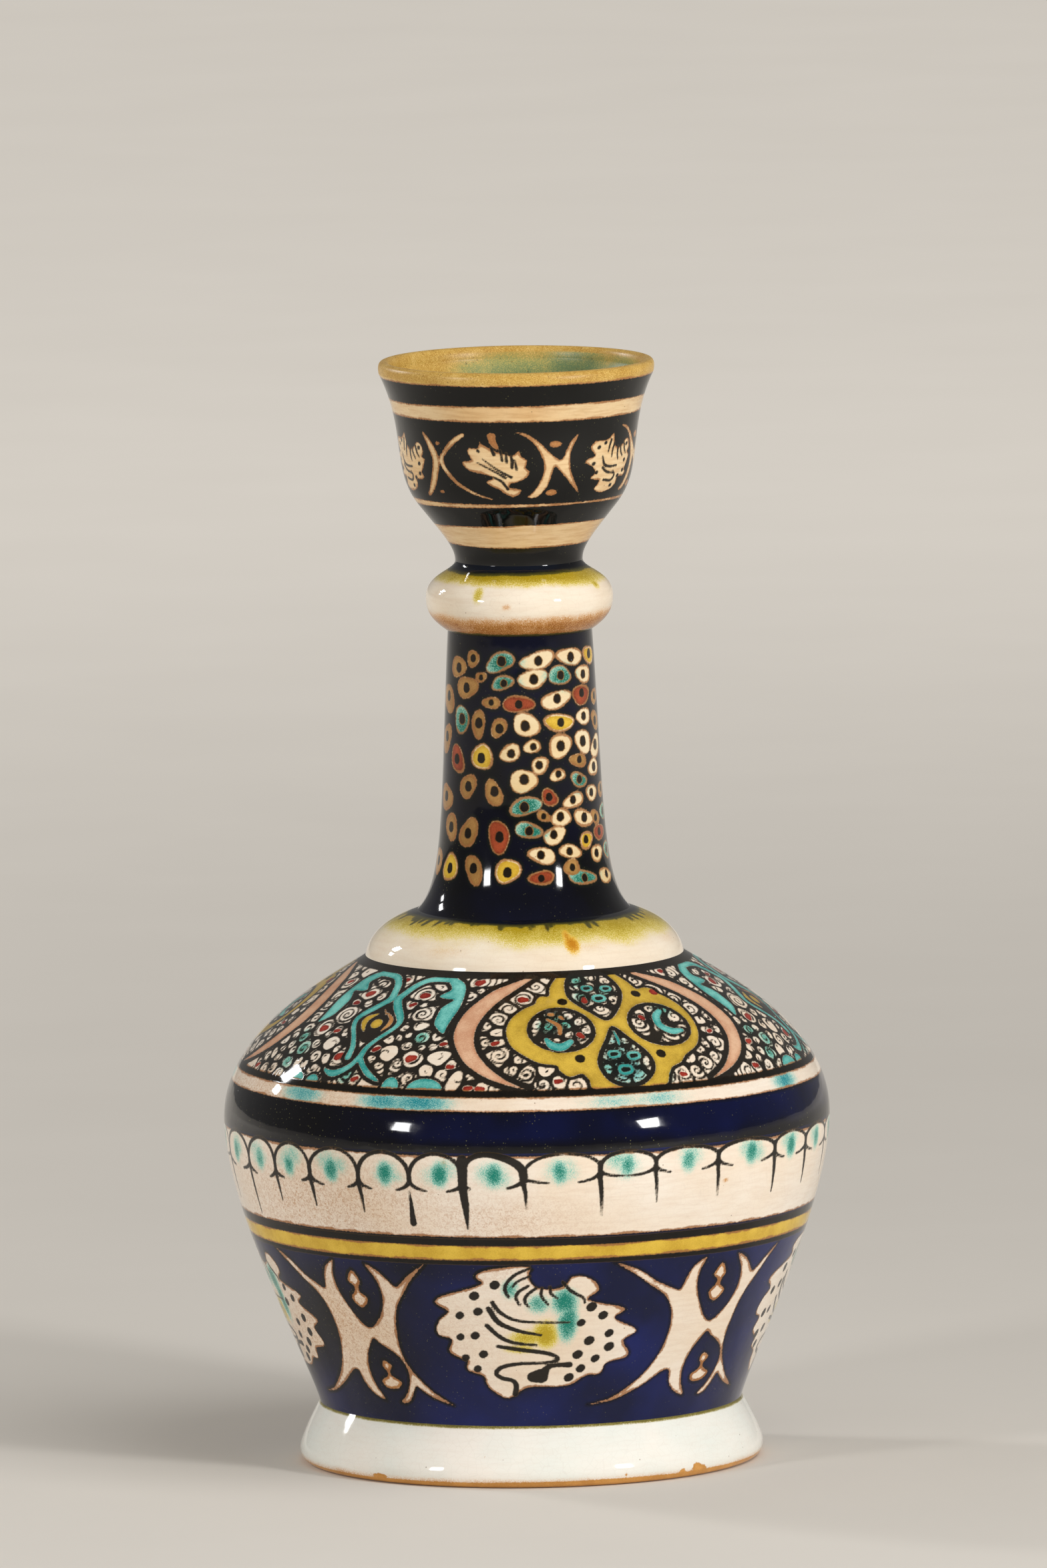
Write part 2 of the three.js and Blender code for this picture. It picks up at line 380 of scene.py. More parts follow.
def sharpen(mesh, profile, row_of):
    """Sharp edges where the profile turns by more than a rounded edge does."""
    along = np.roll(profile, -1, axis=0) - profile
    heading = np.arctan2(along[:, 1], along[:, 0])
    bend = np.abs((heading - np.roll(heading, 1) + math.pi) % (2 * math.pi) - math.pi)
    ends = row_of[read_all(mesh.edges, "vertices", 2).reshape(-1, 2)]
    is_sharp = (ends[:, 0] == ends[:, 1]) & (bend > SHARP_BEND)[ends[:, 0]]
    mesh.attributes.new("sharp_edge", "BOOLEAN", "EDGE").data.foreach_set("value", is_sharp)


def unroll(mesh, canvas, profile, starts, row_of):
    """Unrolled map: once round across, the whole profile up."""
    corner = read_all(mesh.loops, "vertex_index")
    corners_each = np.diff(np.append(read_all(mesh.polygons, "loop_start"), len(corner)))
    face_of = np.repeat(np.arange(len(mesh.polygons)), corners_each)
    up = lengths_along(profile)
    full = up[-1] + np.hypot(*(profile[0] - profile[-1]))
    across = (np.arange(len(row_of)) - starts[row_of])[corner] / canvas.columns
    sides = []
    for values in (across, (up / full)[row_of[corner]]):
        # A face that runs over the seam ends at 1 instead of at 0
        highest = np.zeros(len(mesh.polygons))
        np.maximum.at(highest, face_of, values)
        sides.append(np.where((values == 0) & (highest[face_of] > 0.5), 1.0, values))
    flat = np.stack(sides, axis=1).astype(np.float32).ravel()
    mesh.uv_layers.new(name="OFBake").data.foreach_set("uv", flat)


# %% Turned section
def tongue(height, inner):
    """Upper end of a section, from its outside rim inwards."""
    top = height + TONGUE_HEIGHT
    return [(inner + TONGUE, height), (inner + TONGUE, top), (inner, top)]


def rebate(height, inner):
    """Lower end of a section, from its inside down to its land."""
    side, top = inner + TONGUE + CLEARANCE, height + REBATE_DEPTH
    return [(inner, top), (side, top), (side, height)]


def turned_section(name, node, glaze, canvas, closing):
    """One section as a closed mesh: the painted outside, then the rest of the profile back to its start."""
    profile = np.vstack([np.stack([canvas.radius, canvas.height], axis=1), closing])
    mesh, starts, row_of = turned_mesh(name, canvas, profile)
    sharpen(mesh, profile, row_of)
    for layer in PAINTS + BLEEDS:
        # What ran over the last painted row also ran down the inside
        inside = FAR if layer in PAINTS else canvas.paint[layer][-1].mean()
        values = np.full(len(row_of), inside, np.float32)
        values[:canvas.paint[layer].size] = np.clip(canvas.paint[layer], -FAR, FAR).ravel()
        mesh.attributes.new(layer, "FLOAT", "POINT").data.foreach_set("value", values)
    unroll(mesh, canvas, profile, starts, row_of)
    mesh.materials.append(glaze)
    piece = put_in_scene(name, mesh)
    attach(piece, "root")
    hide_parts(node)
    print(f"{name}: {len(mesh.vertices)} points, {len(mesh.loops) - 2 * len(mesh.polygons)} triangles")


# %% [markdown]
# ## Painting the lower bowl
# The bowl is cobalt, with shapes left in reserve down to the cream slip: round medallions between
# crossed straps, each with a serrated leaf. Above them run a yellow stripe between black lines and a
# cream zone hung with arches. The leaf is drawn once as a brush outline and turned to each medallion.

# %% The leaf
LEAF = [
    (0, 49.3), (-6.5, 49), (-10.2, 47.7), (-11.2, 46.1), (-9.9, 44.4), (-12.9, 42.7), (-19.2, 40.2),
    (-20.8, 38), (-18.1, 35.6), (-20.3, 33), (-21.6, 29.9), (-21, 28), (-18.2, 26.8), (-19.3, 23.6),
    (-18.1, 21.8), (-15, 20.2), (-15.5, 18.6), (-15, 17.1), (-11.5, 15.5), (-11, 13), (-9.2, 10.5),
    (-5.7, 8.6), (-2.3, 11.1), (0.4, 12.2), (4.6, 12.1), (9.9, 12.5), (13.8, 15.3), (17.3, 15.6),
    (18.5, 18.9), (22.9, 20), (23.9, 21.8), (22, 25.6), (25, 28), (23.4, 29.9), (19, 32.8),
    (21.3, 34.9), (19.9, 36.3), (12.6, 38.8), (14.6, 41.1), (14.8, 42.4), (13.9, 44.3), (12, 45.8),
    (9.9, 46.3), (6.6, 44.9), (3.5, 43), (1.4, 43), (0.1, 45.5),
]
LEAF_DOME = ring(4.3, 46.6, 4.5, 4.3)
# Runs of turquoise and of yellow on the leaf: paint, angle, arc, half width, half height, strength
LEAF_RUNS = [
    ("wash", -4, 42.6, 2.2, 2.8, 1.1), ("wash", 1.8, 38, 3.0, 3.0, 1.0), ("wash", 7.6, 38.2, 3.2, 3.8, 1.6),
    ("wash", 8.4, 32, 2.4, 5.0, 1.7), ("glow", 3.6, 28.6, 3.0, 3.6, 1.7), ("glow", -0.8, 27.4, 4.4, 2.2, 1.2),
    ("glow", -2.5, 24, 4.0, 1.3, 1.1),
]
LEAF_DOTS = [
    (-7.3, 43.9), (-11.9, 40.5), (-11.4, 35.7), (-15.6, 34.4), (-16.1, 27.7), (-12.6, 28.2),
    (-11.1, 22.4), (-15.5, 21.2), (-12.9, 17.8), (13.6, 36.6), (16.4, 33.8), (11.5, 31.8), (18.3, 28.1),
    (13.7, 26.1), (18.7, 23.9), (11.2, 21.9), (15.6, 20.4), (12.2, 17.5), (9.4, 14.8),
]
LEAF_STROKES = [
    [(-8.1, 38.6, 0.6), (-6.5, 35.5, 0.55), (-3.3, 33.1, 0.45), (1.4, 32.3, 0.36), (8.8, 32.1, 0.3)],
    [(-9, 36.6, 0.75), (-7, 32.4, 0.75), (-2.8, 29.8, 0.55), (2.5, 28.3, 0.35)],
    [(-9.7, 31.4, 0.65), (-7, 28, 0.6), (-3.9, 26.1, 0.5), (1.4, 25.2, 0.35)],
    [(-7.6, 24.9, 0.5), (-2.8, 23.9, 0.6), (3.5, 22.7, 0.6), (6.2, 21.4, 0.5), (6.2, 20.2, 0.5),
     (3, 19.6, 0.4), (-2.8, 19.4, 0.5), (-7, 18.3, 0.6), (-8.4, 16.4, 0.6), (-7, 14.9, 0.6),
     (-4.4, 14.1, 0.6), (-3.6, 12.4, 0.7), (-4, 9.9, 0.75)],
    [(2.2, 15.6, 2.1), (3.2, 16.4, 1.3), (4.2, 18.2, 0.8), (6.5, 18.8, 0.6), (9.4, 18.8, 0.9)],
    [(0.6, 15.2, 1.6), (2.6, 15.1, 1.8)],
    [(0.1, 48.9, 0.35), (-2.8, 47.1, 0.45), (-4.7, 44.6, 0.45), (-5.2, 42.4, 0.5), (-4.5, 40.2, 0.45)],
    [(0.2, 46.6, 0.3), (-2.4, 45, 0.35), (-3.6, 43.4, 0.35)],
    [(-0.2, 43.6, 0.4), (-2.3, 41.8, 0.45), (-2.9, 39.9, 0.45), (-2.2, 37.7, 0.35)],
    [(1.4, 42.9, 0.4), (-0.7, 40.5, 0.45), (-1, 38.6, 0.45), (-0.2, 37.1, 0.35)],
    [(2.7, 42.9, 0.4), (2.5, 40.5, 0.45), (4, 37.7, 0.35)],
    [(4.3, 43.3, 0.4), (4.6, 41.1, 0.45), (5.9, 39.6, 0.35)],
    [(7, 44.6, 0.45), (8.8, 41.8, 0.5), (11.5, 39.6, 0.4), (12, 38, 0.35)],
]
print("leaf:", len(LEAF), "points,", len(LEAF_STROKES), "brush strokes,", len(LEAF_DOTS), "dots")

# %% Draw a leaf
# Where the four leaves are: angle, mirror, rise, stretch
LEAVES = ((0, None, 0, 1), (85.5, None, -0.5, 0.97), (-83, None, 0.5, 1.02), (181, 0, 0, 1))


def draw_leaf(canvas, angle, mirror, rise, stretch):
    """One serrated leaf, held in reserve, with its veins and dots."""
    def moved(points):
        return turned_by(points, angle, mirror, rise, stretch)
    canvas.spare("ground", canvas.shape(moved(LEAF), 3))
    canvas.lay("ground", canvas.shape(moved(LEAF_DOME)))
    for points in LEAF_STROKES:
        canvas.lay("ink", canvas.brush(moved(points)))
    random = np.random.default_rng(int(abs(angle)) + 5)
    for a, s in moved(LEAF_DOTS):
        size = random.uniform(0.95, 1.3)
        canvas.lay("ink", canvas.stroke([(a - 0.15, s - 0.15, size), (a + 0.15, s + 0.15, size)]))
    for paint, a, s, wide, tall, power in LEAF_RUNS:
        canvas.bleed(paint, moved([(a, s)])[0][0], s + rise, wide, tall, power)


# %% The arches
# Junctions of the hanging arches on the front: angle, then in mm below the belly line the junction, the
# tip of its spike and the bottom of the arch to its right, then how much of that bottom is left open
BIG_SPIKE, BLOT = -12.4, -23
ARCHES = [
    (-80, 7.2, 20, 10.5, 0.3), (-67, 7.4, 22.4, 11, 0.35), (-56.5, 7.6, 17, 10.6, 0.35),
    (-46, 7.6, 17, 11, 0.35), (-34, 7.8, 17.4, 11, 0.35), (BLOT, 7.4, 21, 10.8, 0.2),
    (BIG_SPIKE, 7.6, 21.4, 10.2, 0.45), (-0.8, 6.4, 15.4, 8.4, 0.3), (13.8, 4.8, 18, 7.1, 0),
    (24.9, 4.2, 15, 7.2, 0.35), (38.8, 4.0, 15, 7.2, 0.4), (54.5, 4.0, 16.4, 7.2, 0.3),
    (66.5, 4.2, 16, 7.4, 0.2), (79, 4.2, 16, 7.2, 0.3),
]
BEHIND_FROM, BEHIND_TO, ARCHES_BEHIND = 91, 268.5, 15
HEAVY_HAND_UP_TO = -5
ARCH_STEPS, SHUT_GAP = 25, 0.08
print(len(ARCHES), "arches in front,", ARCHES_BEHIND, "behind")


# %% Draw the arches
def draw_arches(canvas, belly_arc):
    """Arches side by side under the belly line, closed below by thin tails, with a spike at each junction."""
    random = np.random.default_rng(31)
    turn = np.linspace(0, math.pi, ARCH_STEPS)

    def ink(*points):
        """A stroke through points of angle, mm below the belly line, half width."""
        canvas.lay("ink", canvas.stroke([(a, belly_arc - down, w) for a, down, w in points]))

    arches = list(ARCHES)
    for angle in np.linspace(BEHIND_FROM, BEHIND_TO, ARCHES_BEHIND):
        arches.append((angle + random.uniform(-0.8, 0.8), random.uniform(4.2, 6.5), random.uniform(15, 19),
                       random.uniform(7.4, 9.5), random.choice([0, 0.3, 0.4])))
    arches.append((arches[0][0] + 360,) + arches[0][1:])
    for (left, fall, tip, bottom, gap), (right, next_fall, *_) in zip(arches[:-1], arches[1:]):
        big, heavy = left == BIG_SPIKE, left < HEAVY_HAND_UP_TO
        middle, half = (left + right) / 2, (right - left) / 2
        weight = random.uniform(0.36, 0.44) + 0.06 * heavy
        sway = -0.25 if big else random.uniform(-0.08, 0.08)
        across = middle - half * (np.cos(turn) - sway * np.sin(turn) ** 2)
        # Height of the line between the two junctions, and of the arch above and below it
        base = belly_arc - np.interp(across, [left, right], [fall, next_fall])
        top = base + (belly_arc - 0.3 - base) * np.sin(turn) ** 0.85
        low = base - (base - belly_arc + bottom) * np.sin(turn) ** 0.8
        upper, lower = np.stack([across, top], axis=1), np.stack([across, low], axis=1)
        canvas.spare("ground", canvas.shape(np.vstack([upper, lower[-2:0:-1]])), 0.1)
        load = weight * (0.85 + 0.45 * np.abs(np.cos(turn))) * (1 + 0.9 * big * np.sin(turn / 2))
        canvas.lay("ink", canvas.stroke(list(zip(across, top, load))))
        keep, last = int(ARCH_STEPS * (0.5 - gap * 0.32)), ARCH_STEPS - 1
        width = np.interp(np.arange(ARCH_STEPS), [0, keep, last - keep, last], [0.6, 0.24, 0.24, 0.6])
        tail = list(zip(across, low, width * (1 + 0.2 * heavy)))
        for part in ((tail,) if gap < SHUT_GAP else (tail[:keep], tail[-keep:])):
            canvas.lay("ink", canvas.stroke(part))
        knot = 1.25 if big else random.uniform(0.62, 0.8)
        ink((left, fall - 1.4, knot), (left, fall + 0.8, knot))
        if big:
            ink((left, 1.9, 1.5), (left, fall, 1.3))
        if left == BLOT:
            ink((left - 0.2, fall + 3.5, 0.3), (left, fall + 7, 0.5), (left, tip - 1, 0.95))
        else:
            ink((left - 0.1, fall + 1.5, knot * 0.95), (left + 0.3, (fall + tip) / 2, knot * 0.8),
                (left + 0.5, tip, 0.22))
        # A drop of turquoise in each arch: a dark granular heart and paler runs round it
        heart, arc = middle + random.uniform(-0.9, 0.9), belly_arc - 0.55 * fall
        canvas.bleed("wash", heart, arc - 1.8, 2.2, 3.1, random.uniform(1.2, 1.7))
        for _ in range(3):
            canvas.bleed("wash", heart + random.uniform(-1.8, 1.8), arc - random.uniform(-0.6, 2.6),
                         random.uniform(3.0, 5.0), random.uniform(2.2, 3.8), random.uniform(0.4, 0.7))


# %% Lower bowl
CROSSED_STRAPS = [
    (17.6, 50), (23.5, 47.1), (27.8, 43.3), (32, 40.8), (34.4, 39.8), (35.4, 43.6), (36.8, 46.8),
    (39.7, 49.1), (38.6, 45.5), (38.5, 41.8), (39.4, 38), (41.3, 33.6), (43.4, 30.2), (45.7, 28.8),
    (48.4, 31.1), (50.5, 34.3), (51.6, 38), (51.7, 41.1), (50.8, 44.9), (48.7, 48.9), (52.1, 46.8),
    (54.5, 43.6), (56.1, 42.3), (59, 45.5), (63.9, 49.9), (60.5, 45.5), (57.9, 41.1), (55.3, 36.8),
    (53.9, 32.4), (53.3, 28), (53, 24.3), (53.4, 20.5), (54.5, 17.4), (56.3, 14.3), (60, 9.9),
    (65.5, 6), (59.5, 8.3), (56.3, 10.8), (55, 11.4), (53.1, 8), (51.3, 6.1), (48.9, 6),
    (51, 8), (52.9, 11.1), (53.9, 14.9), (53.4, 18), (52.1, 20.5), (50, 22.4), (47.3, 24.3),
    (45.6, 25.8), (43.9, 23.6), (42.1, 20.5), (41, 16.8), (41, 13), (41.8, 9.9), (43.6, 6.2),
    (39.4, 8.3), (37.3, 11.4), (36.8, 14.3), (35.8, 15.2), (34.1, 14.6), (29.9, 11.4), (25.7, 8.9),
    (20.9, 6.8), (14.8, 6), (20.4, 7.4), (24.6, 10.2), (28.3, 13.6), (30.9, 17.4), (32.8, 21.8),
    (33.7, 26.8), (33.6, 31.1), (32.5, 35.5), (30.4, 38.9), (26.7, 42.1), (22.5, 46.1),
]
CROSSING = 43.35
UPPER_SPANDREL = [
    (44.6, 46.6), (46.3, 43.5), (45.6, 41.8), (45.5, 39.9), (47.3, 38.2), (46.4, 36.2), (44.9, 35.1),
    (43.3, 36.2), (42.6, 38.3), (44, 39.9), (44.2, 41.8), (42.8, 43.3),
]
LOWER_SPANDREL = [
    (46.8, 18.9), (49, 17.4), (47.9, 15.8), (48.1, 14.2), (50.8, 12.4), (49.5, 10.6), (46.8, 10),
    (44.8, 10.7), (44.3, 12.5), (46.6, 13.9), (46.9, 15.5), (46, 17),
]
SPANDREL_RIM = 0.8
# Where the four crossings are: angle, stretch, mirror
CROSSINGS = ((0, 1, None), (-84.7, 0.94, None), (91, 1.0, CROSSING), (-175, 0.97, None))
# Stripes over the leaves: paint, from, to, waver, seed
BOWL_STRIPES = (("ink", 50.0, 51.2, 0.2, 12), ("yellow", 50.9, 56.2, 0.1, 13),
                ("ground", 55.7, 58.2, 0.12, 14), ("ink", 55.6, 57.6, 0.12, 14))
# Where the glaze is crazed and stained, and darker on the left side as painted shade: paint, angle, arc, half
# width, half height, strength
BOWL_STAINS_AND_PAINTED_SHADE = [
    ("stain", 41, 71, 1.0, 0.5, 1.0), ("stain", -16, 78.5, 0.9, 1.3, 1.2), ("speckle", -45, 66, 46, 16, 1.0),
    ("speckle", -8, 63, 26, 7, 0.75), ("speckle", -52, 30, 44, 26, 0.95), ("speckle", -20, 49, 34, 7, 0.7),
    ("speckle", 150, 64, 40, 12, 0.6),
]


def paint_bowl():
    total = lengths_along(bowl_curve)[-1]
    arcs = rows_of((0, 5, 1.0), (5, 50.5, 0.6), (50.5, 60, 0.8), (60, total, 0.62))
    canvas = Canvas(bowl_curve, arcs, columns=720)
    canvas.band("ground", -9, 51.3, waver=0.2, seed=12)
    canvas.band("ground", total - 0.8, total + 9, waver=0.2, seed=3)
    for leaf in LEAVES:
        draw_leaf(canvas, *leaf)
    for turn, stretch, mirror in CROSSINGS:
        def moved(points):
            return turned_by(points, turn, mirror, 0, stretch, CROSSING)
        canvas.spare("ground", canvas.shape(moved(CROSSED_STRAPS), 2))
        for spandrel in (UPPER_SPANDREL, LOWER_SPANDREL):
            motif = canvas.shape(moved(spandrel), 3)
            canvas.spare("ground", motif)
            canvas.lay("tan", motif)
            canvas.spare("tan", motif, -SPANDREL_RIM)
    for stripe in BOWL_STRIPES:
        canvas.band(*stripe)
    draw_arches(canvas, total)
    for stain in BOWL_STAINS_AND_PAINTED_SHADE:
        canvas.bleed(*stain)
    return canvas


bowl_canvas = paint_bowl()
print(f"bowl painted, {bowl_canvas.length:.1f} mm up")

# %% [markdown]
# ## Painting the shoulder
# The shoulder carries the richest work: three roundels, each a quatrefoil strap between two pink
# crescents, and three turquoise palmettes, over a ground that is filled edge to edge with small scrolls.
# Straps are laid first. The scrolls then grow from scattered middles: each takes the room that is nearest
# to it, up to its neighbours' outlines, and winds round its middle, as a painter fills a space.

# %% Straps of the shoulder
ROUNDEL_TURNS, PALMETTE_TURNS = (0, 121.5, -124.5), (0, 122, 240)
ROUNDEL_MIDDLE, PALMETTE_MIDDLE = 20.3, -40.2
BAND_FOOT, BAND_TOP = 17.0, 59.8
CRESCENT = [
    (4, 60.4), (-8, 55), (-13, 50), (-16, 45), (-17.3, 40), (-17.3, 35), (-15.5, 30), (-12.5, 25),
    (-7, 20.5), (0, 17.6), (-4.2, 20.5), (-8.3, 25), (-11.2, 30), (-12.3, 35), (-12, 40), (-10.2, 45),
    (-7, 50), (-1.5, 55.5),
]
QUATREFOIL = [
    (-4.8, 37), (-4.2, 41), (-2.5, 44), (0, 46.4), (2.6, 48), (3.2, 49.8), (4.6, 51.2), (7, 51.2),
    (7.6, 54.5), (9.8, 58), (14, 61), (29, 61), (32.5, 58.3), (34.6, 55), (35.6, 52), (38.5, 52.3),
    (41, 51.2), (41.6, 49.2), (43.4, 47), (45.1, 43), (45.3, 38), (44, 33), (41, 28.6), (36.6, 25.8),
    (34.6, 23.6), (32, 22.4), (30.6, 20.3), (28, 16.8), (14.5, 16.8), (12.9, 20), (11.6, 22.1), (9, 21.2),
    (7, 23.3), (6.4, 25), (3, 25.8), (-0.5, 28.5), (-3.5, 32),
]
UPPER_CELL = [(21.3, 40.2), (17, 44), (13, 49), (12.2, 53), (13.5, 58), (17, 61), (26, 61), (29.6, 57.5),
              (30.2, 52), (27, 46)]
LOWER_CELL = [(21.6, 38), (18.5, 33), (16, 28), (15.4, 24), (17, 19.5), (20.5, 17.2), (24.5, 18),
              (27.8, 22), (28, 27), (25, 33)]
CELLS = [ring(8.7, 37.8, 8.5, 8.6), ring(34.6, 37.6, 8.6, 8.4),
         smooth(UPPER_CELL, closed=True), smooth(LOWER_CELL, closed=True)]
PALMETTE_LEAF = [
    (-25.3, 59.1), (-21.3, 57.7), (-19.1, 55.4), (-18.3, 51.6), (-18.3, 46.6), (-19.2, 42.1), (-19.8, 38.8),
    (-20.1, 36), (-22.3, 37.9), (-23.6, 39.9), (-23.8, 43.2), (-23.6, 46), (-22.3, 47.9), (-21.1, 49.6),
    (-23.9, 49.9), (-26.1, 50.7), (-25.1, 52.1), (-23.4, 53.8), (-24.4, 55.7), (-25.3, 56.6),
]
PALMETTE_ARM = [
    (-24, 57.9, 1.1), (-29, 58, 1.1), (-33.5, 57.2, 1.1), (-36.5, 54.6, 1.15), (-38.2, 51, 1.2),
    (-38.8, 48.2, 1.3), (-36.8, 45, 1.3), (-34.3, 41.8, 1.15), (-33.3, 39.3, 0.95), (-34.2, 36.5, 0.8),
    (-36.5, 33, 0.75), (-38.2, 29.5, 0.9), (-38.6, 26, 1.1),
]
PALMETTE_FEET = [
    [(-38.8, 26.4, 0.9), (-39.8, 23.6, 0.9), (-41.6, 21.6, 1.0), (-43.8, 20.4, 1.1), (-46.2, 21.2, 0.5),
     (-46.6, 22, 0.25)],
    [(-38.2, 25.6, 0.9), (-36.6, 23.4, 0.85), (-34.8, 21.4, 0.9), (-32.6, 19.8, 0.6), (-31.6, 19.2, 0.25)],
]
SCALLOPS = [(-21, 17.2, 3.9, 3.6), (-28.6, 17.2, 2.0, 3.6), (-54.5, 17.0, 3.2, 3.2), (-48.7, 17.0, 1.9, 2.6)]
print("quatrefoil:", len(QUATREFOIL), "points, palmette leaf:", len(PALMETTE_LEAF))

# %% Lay the straps
# The black outline round each kind of strap, in mm
CRESCENT_LINE, PALMETTE_LINE, QUATREFOIL_LINE, CELL_LINE, SCALLOP_LINE = 1.7, 1.15, 1.0, 1.35, 0.8


def lay_straps(canvas):
    """The painted straps, and as layers beside them: straps alone, straps with outlines, and cells."""
    for layer in ("straps", "outlined", "cells"):
        canvas.paint[layer] = np.full(canvas.size, FAR)

    def strap(paint, mark, line):
        canvas.lay(paint, mark)
        canvas.lay("straps", mark)
        canvas.lay("outlined", mark, line)

    for turn in ROUNDEL_TURNS:
        for mirror in (None, ROUNDEL_MIDDLE):
            strap("pink", canvas.shape(turned_by(CRESCENT, turn, mirror), 3), CRESCENT_LINE)
        strap("yellow", canvas.shape(turned_by(QUATREFOIL, turn), 3), QUATREFOIL_LINE)
        for points in CELLS:
            mark = canvas.shape(turned_by(points, turn))
            canvas.spare("yellow", mark)
            canvas.lay("cells", mark)
    for turn in PALMETTE_TURNS:
        for mirror in (None, PALMETTE_MIDDLE):
            strap("turquoise", canvas.shape(turned_by(PALMETTE_LEAF, turn, mirror), 3), PALMETTE_LINE)
            strap("turquoise", canvas.brush(turned_by(PALMETTE_ARM, turn, mirror)), PALMETTE_LINE)
        for points in PALMETTE_FEET:
            strap("turquoise", canvas.brush(turned_by(points, turn)), PALMETTE_LINE)
        for scallop in SCALLOPS:
            place, distance = canvas.shape(turned_by(ring(*scallop), turn))
            above = (BAND_FOOT + 0.3 - canvas.arc)[:, None] * np.ones(canvas.size)
            strap("turquoise", (place, np.maximum(distance, above[place])), SCALLOP_LINE)


# %% Scrolls of the shoulder
# Scrolls of one third of the shoulder: angle, arc, size in mm, and s for plain, r for one with a red spot,
# c for a comma, t for one tinted by the turquoise beside it
SCROLLS = [
    (-50.8, 49.6, 3.2, "r"), (-51.8, 40.4, 3.5, "s"), (-55.5, 34.6, 2.9, "r"), (-49.1, 29.9, 2.7, "c"),
    (-51.6, 24.9, 2.3, "s"), (-44.2, 26, 2.4, "r"), (-57.3, 26.6, 2.7, "t"), (-59.8, 22.1, 2.0, "t"),
    (-57.5, 43.4, 2.2, "s"), (-42, 56.8, 2.2, "r"), (-37.4, 58.4, 1.6, "c"), (-47.5, 59.2, 1.5, "s"),
    (-30.6, 51, 3.1, "r"), (-28.1, 43.2, 2.8, "s"), (-27.4, 38.2, 2.0, "c"), (-25.3, 34.2, 2.4, "t"),
    (-31, 34, 1.2, "c"), (-32.3, 28.2, 2.9, "c"), (-25.6, 27.1, 2.8, "r"), (-19.6, 27.6, 2.5, "c"),
    (-16.2, 25, 1.3, "r"), (-14.4, 20.8, 2.2, "c"), (-14.6, 57.3, 2.7, "r"), (-16.2, 51.2, 2.1, "s"),
    (-40, 20.4, 1.4, "t"), (-60.5, 30.5, 1.8, "t"),
]
# Scrolls between a crescent and its quatrefoil, the same on both sides
RING_SCROLLS = [
    (-0.4, 50.2, 2.7, "r"), (3.4, 55.4, 1.9, "s"), (-6.9, 41.6, 2.2, "s"), (-7.3, 37, 1.5, "c"),
    (-7, 32.9, 1.3, "r"), (-5.9, 28.6, 2.2, "s"), (0, 22.5, 2.3, "s"), (6.6, 20.2, 1.5, "r"),
    (10, 18.6, 1.2, "s"), (-4.5, 46.2, 1.4, "s"),
]
# More of them, grown between the straps and in the cells: kinds, spacing in mm, tries
BETWEEN_STRAPS, IN_CELLS = ("sssrc", 3.2, 12000), ("ssst", 2.9, 9000)
# Radius of the filled corners between scrolls, and how many neighbours may meet there
ROUND, NEIGHBOURS = 1.5, 6
drawn_by_hand = len(PALMETTE_TURNS) * len(SCROLLS) + 2 * len(ROUNDEL_TURNS) * len(RING_SCROLLS)
print(drawn_by_hand, "scrolls placed by hand")


# %% Scatter the scrolls
def on_surface(canvas, angles, arcs):
    """Places in space of points given by angle and arc."""
    r = np.interp(arcs, canvas.arc, canvas.radius)
    z = np.interp(arcs, canvas.arc, canvas.height)
    turn = np.radians(angles)
    return np.stack([r * np.sin(turn), -r * np.cos(turn), z], axis=-1)


def scatter_scrolls(canvas, room, scrolls, random, kinds, tightest, tries):
    """More scrolls in the room that is left, no closer to each other than the given spacing."""
    found = list(scrolls)
    places = [on_surface(canvas, *scroll[:2]) for scroll in found]
    apart = [tightest * 0.6 + scroll[2] * 0.62 for scroll in found]
    for _ in range(tries):
        angle, arc = random.uniform(-180, 180), random.uniform(BAND_FOOT, BAND_TOP)
        row = np.searchsorted(canvas.arc, arc) - 1
        col = int((angle + 180) / canvas.step) % canvas.columns
        if random.uniform(0, canvas.radius[0]) > canvas.radius[row] or room[row, col] < tightest * 0.3:
            continue
        here = on_surface(canvas, angle, arc)
        if np.all(np.linalg.norm(np.array(places) - here, axis=1) > apart):
            found.append((angle, arc, tightest * 0.5, random.choice(list(kinds))))
            places.append(here)
            apart.append(tightest * 0.91)
    return found


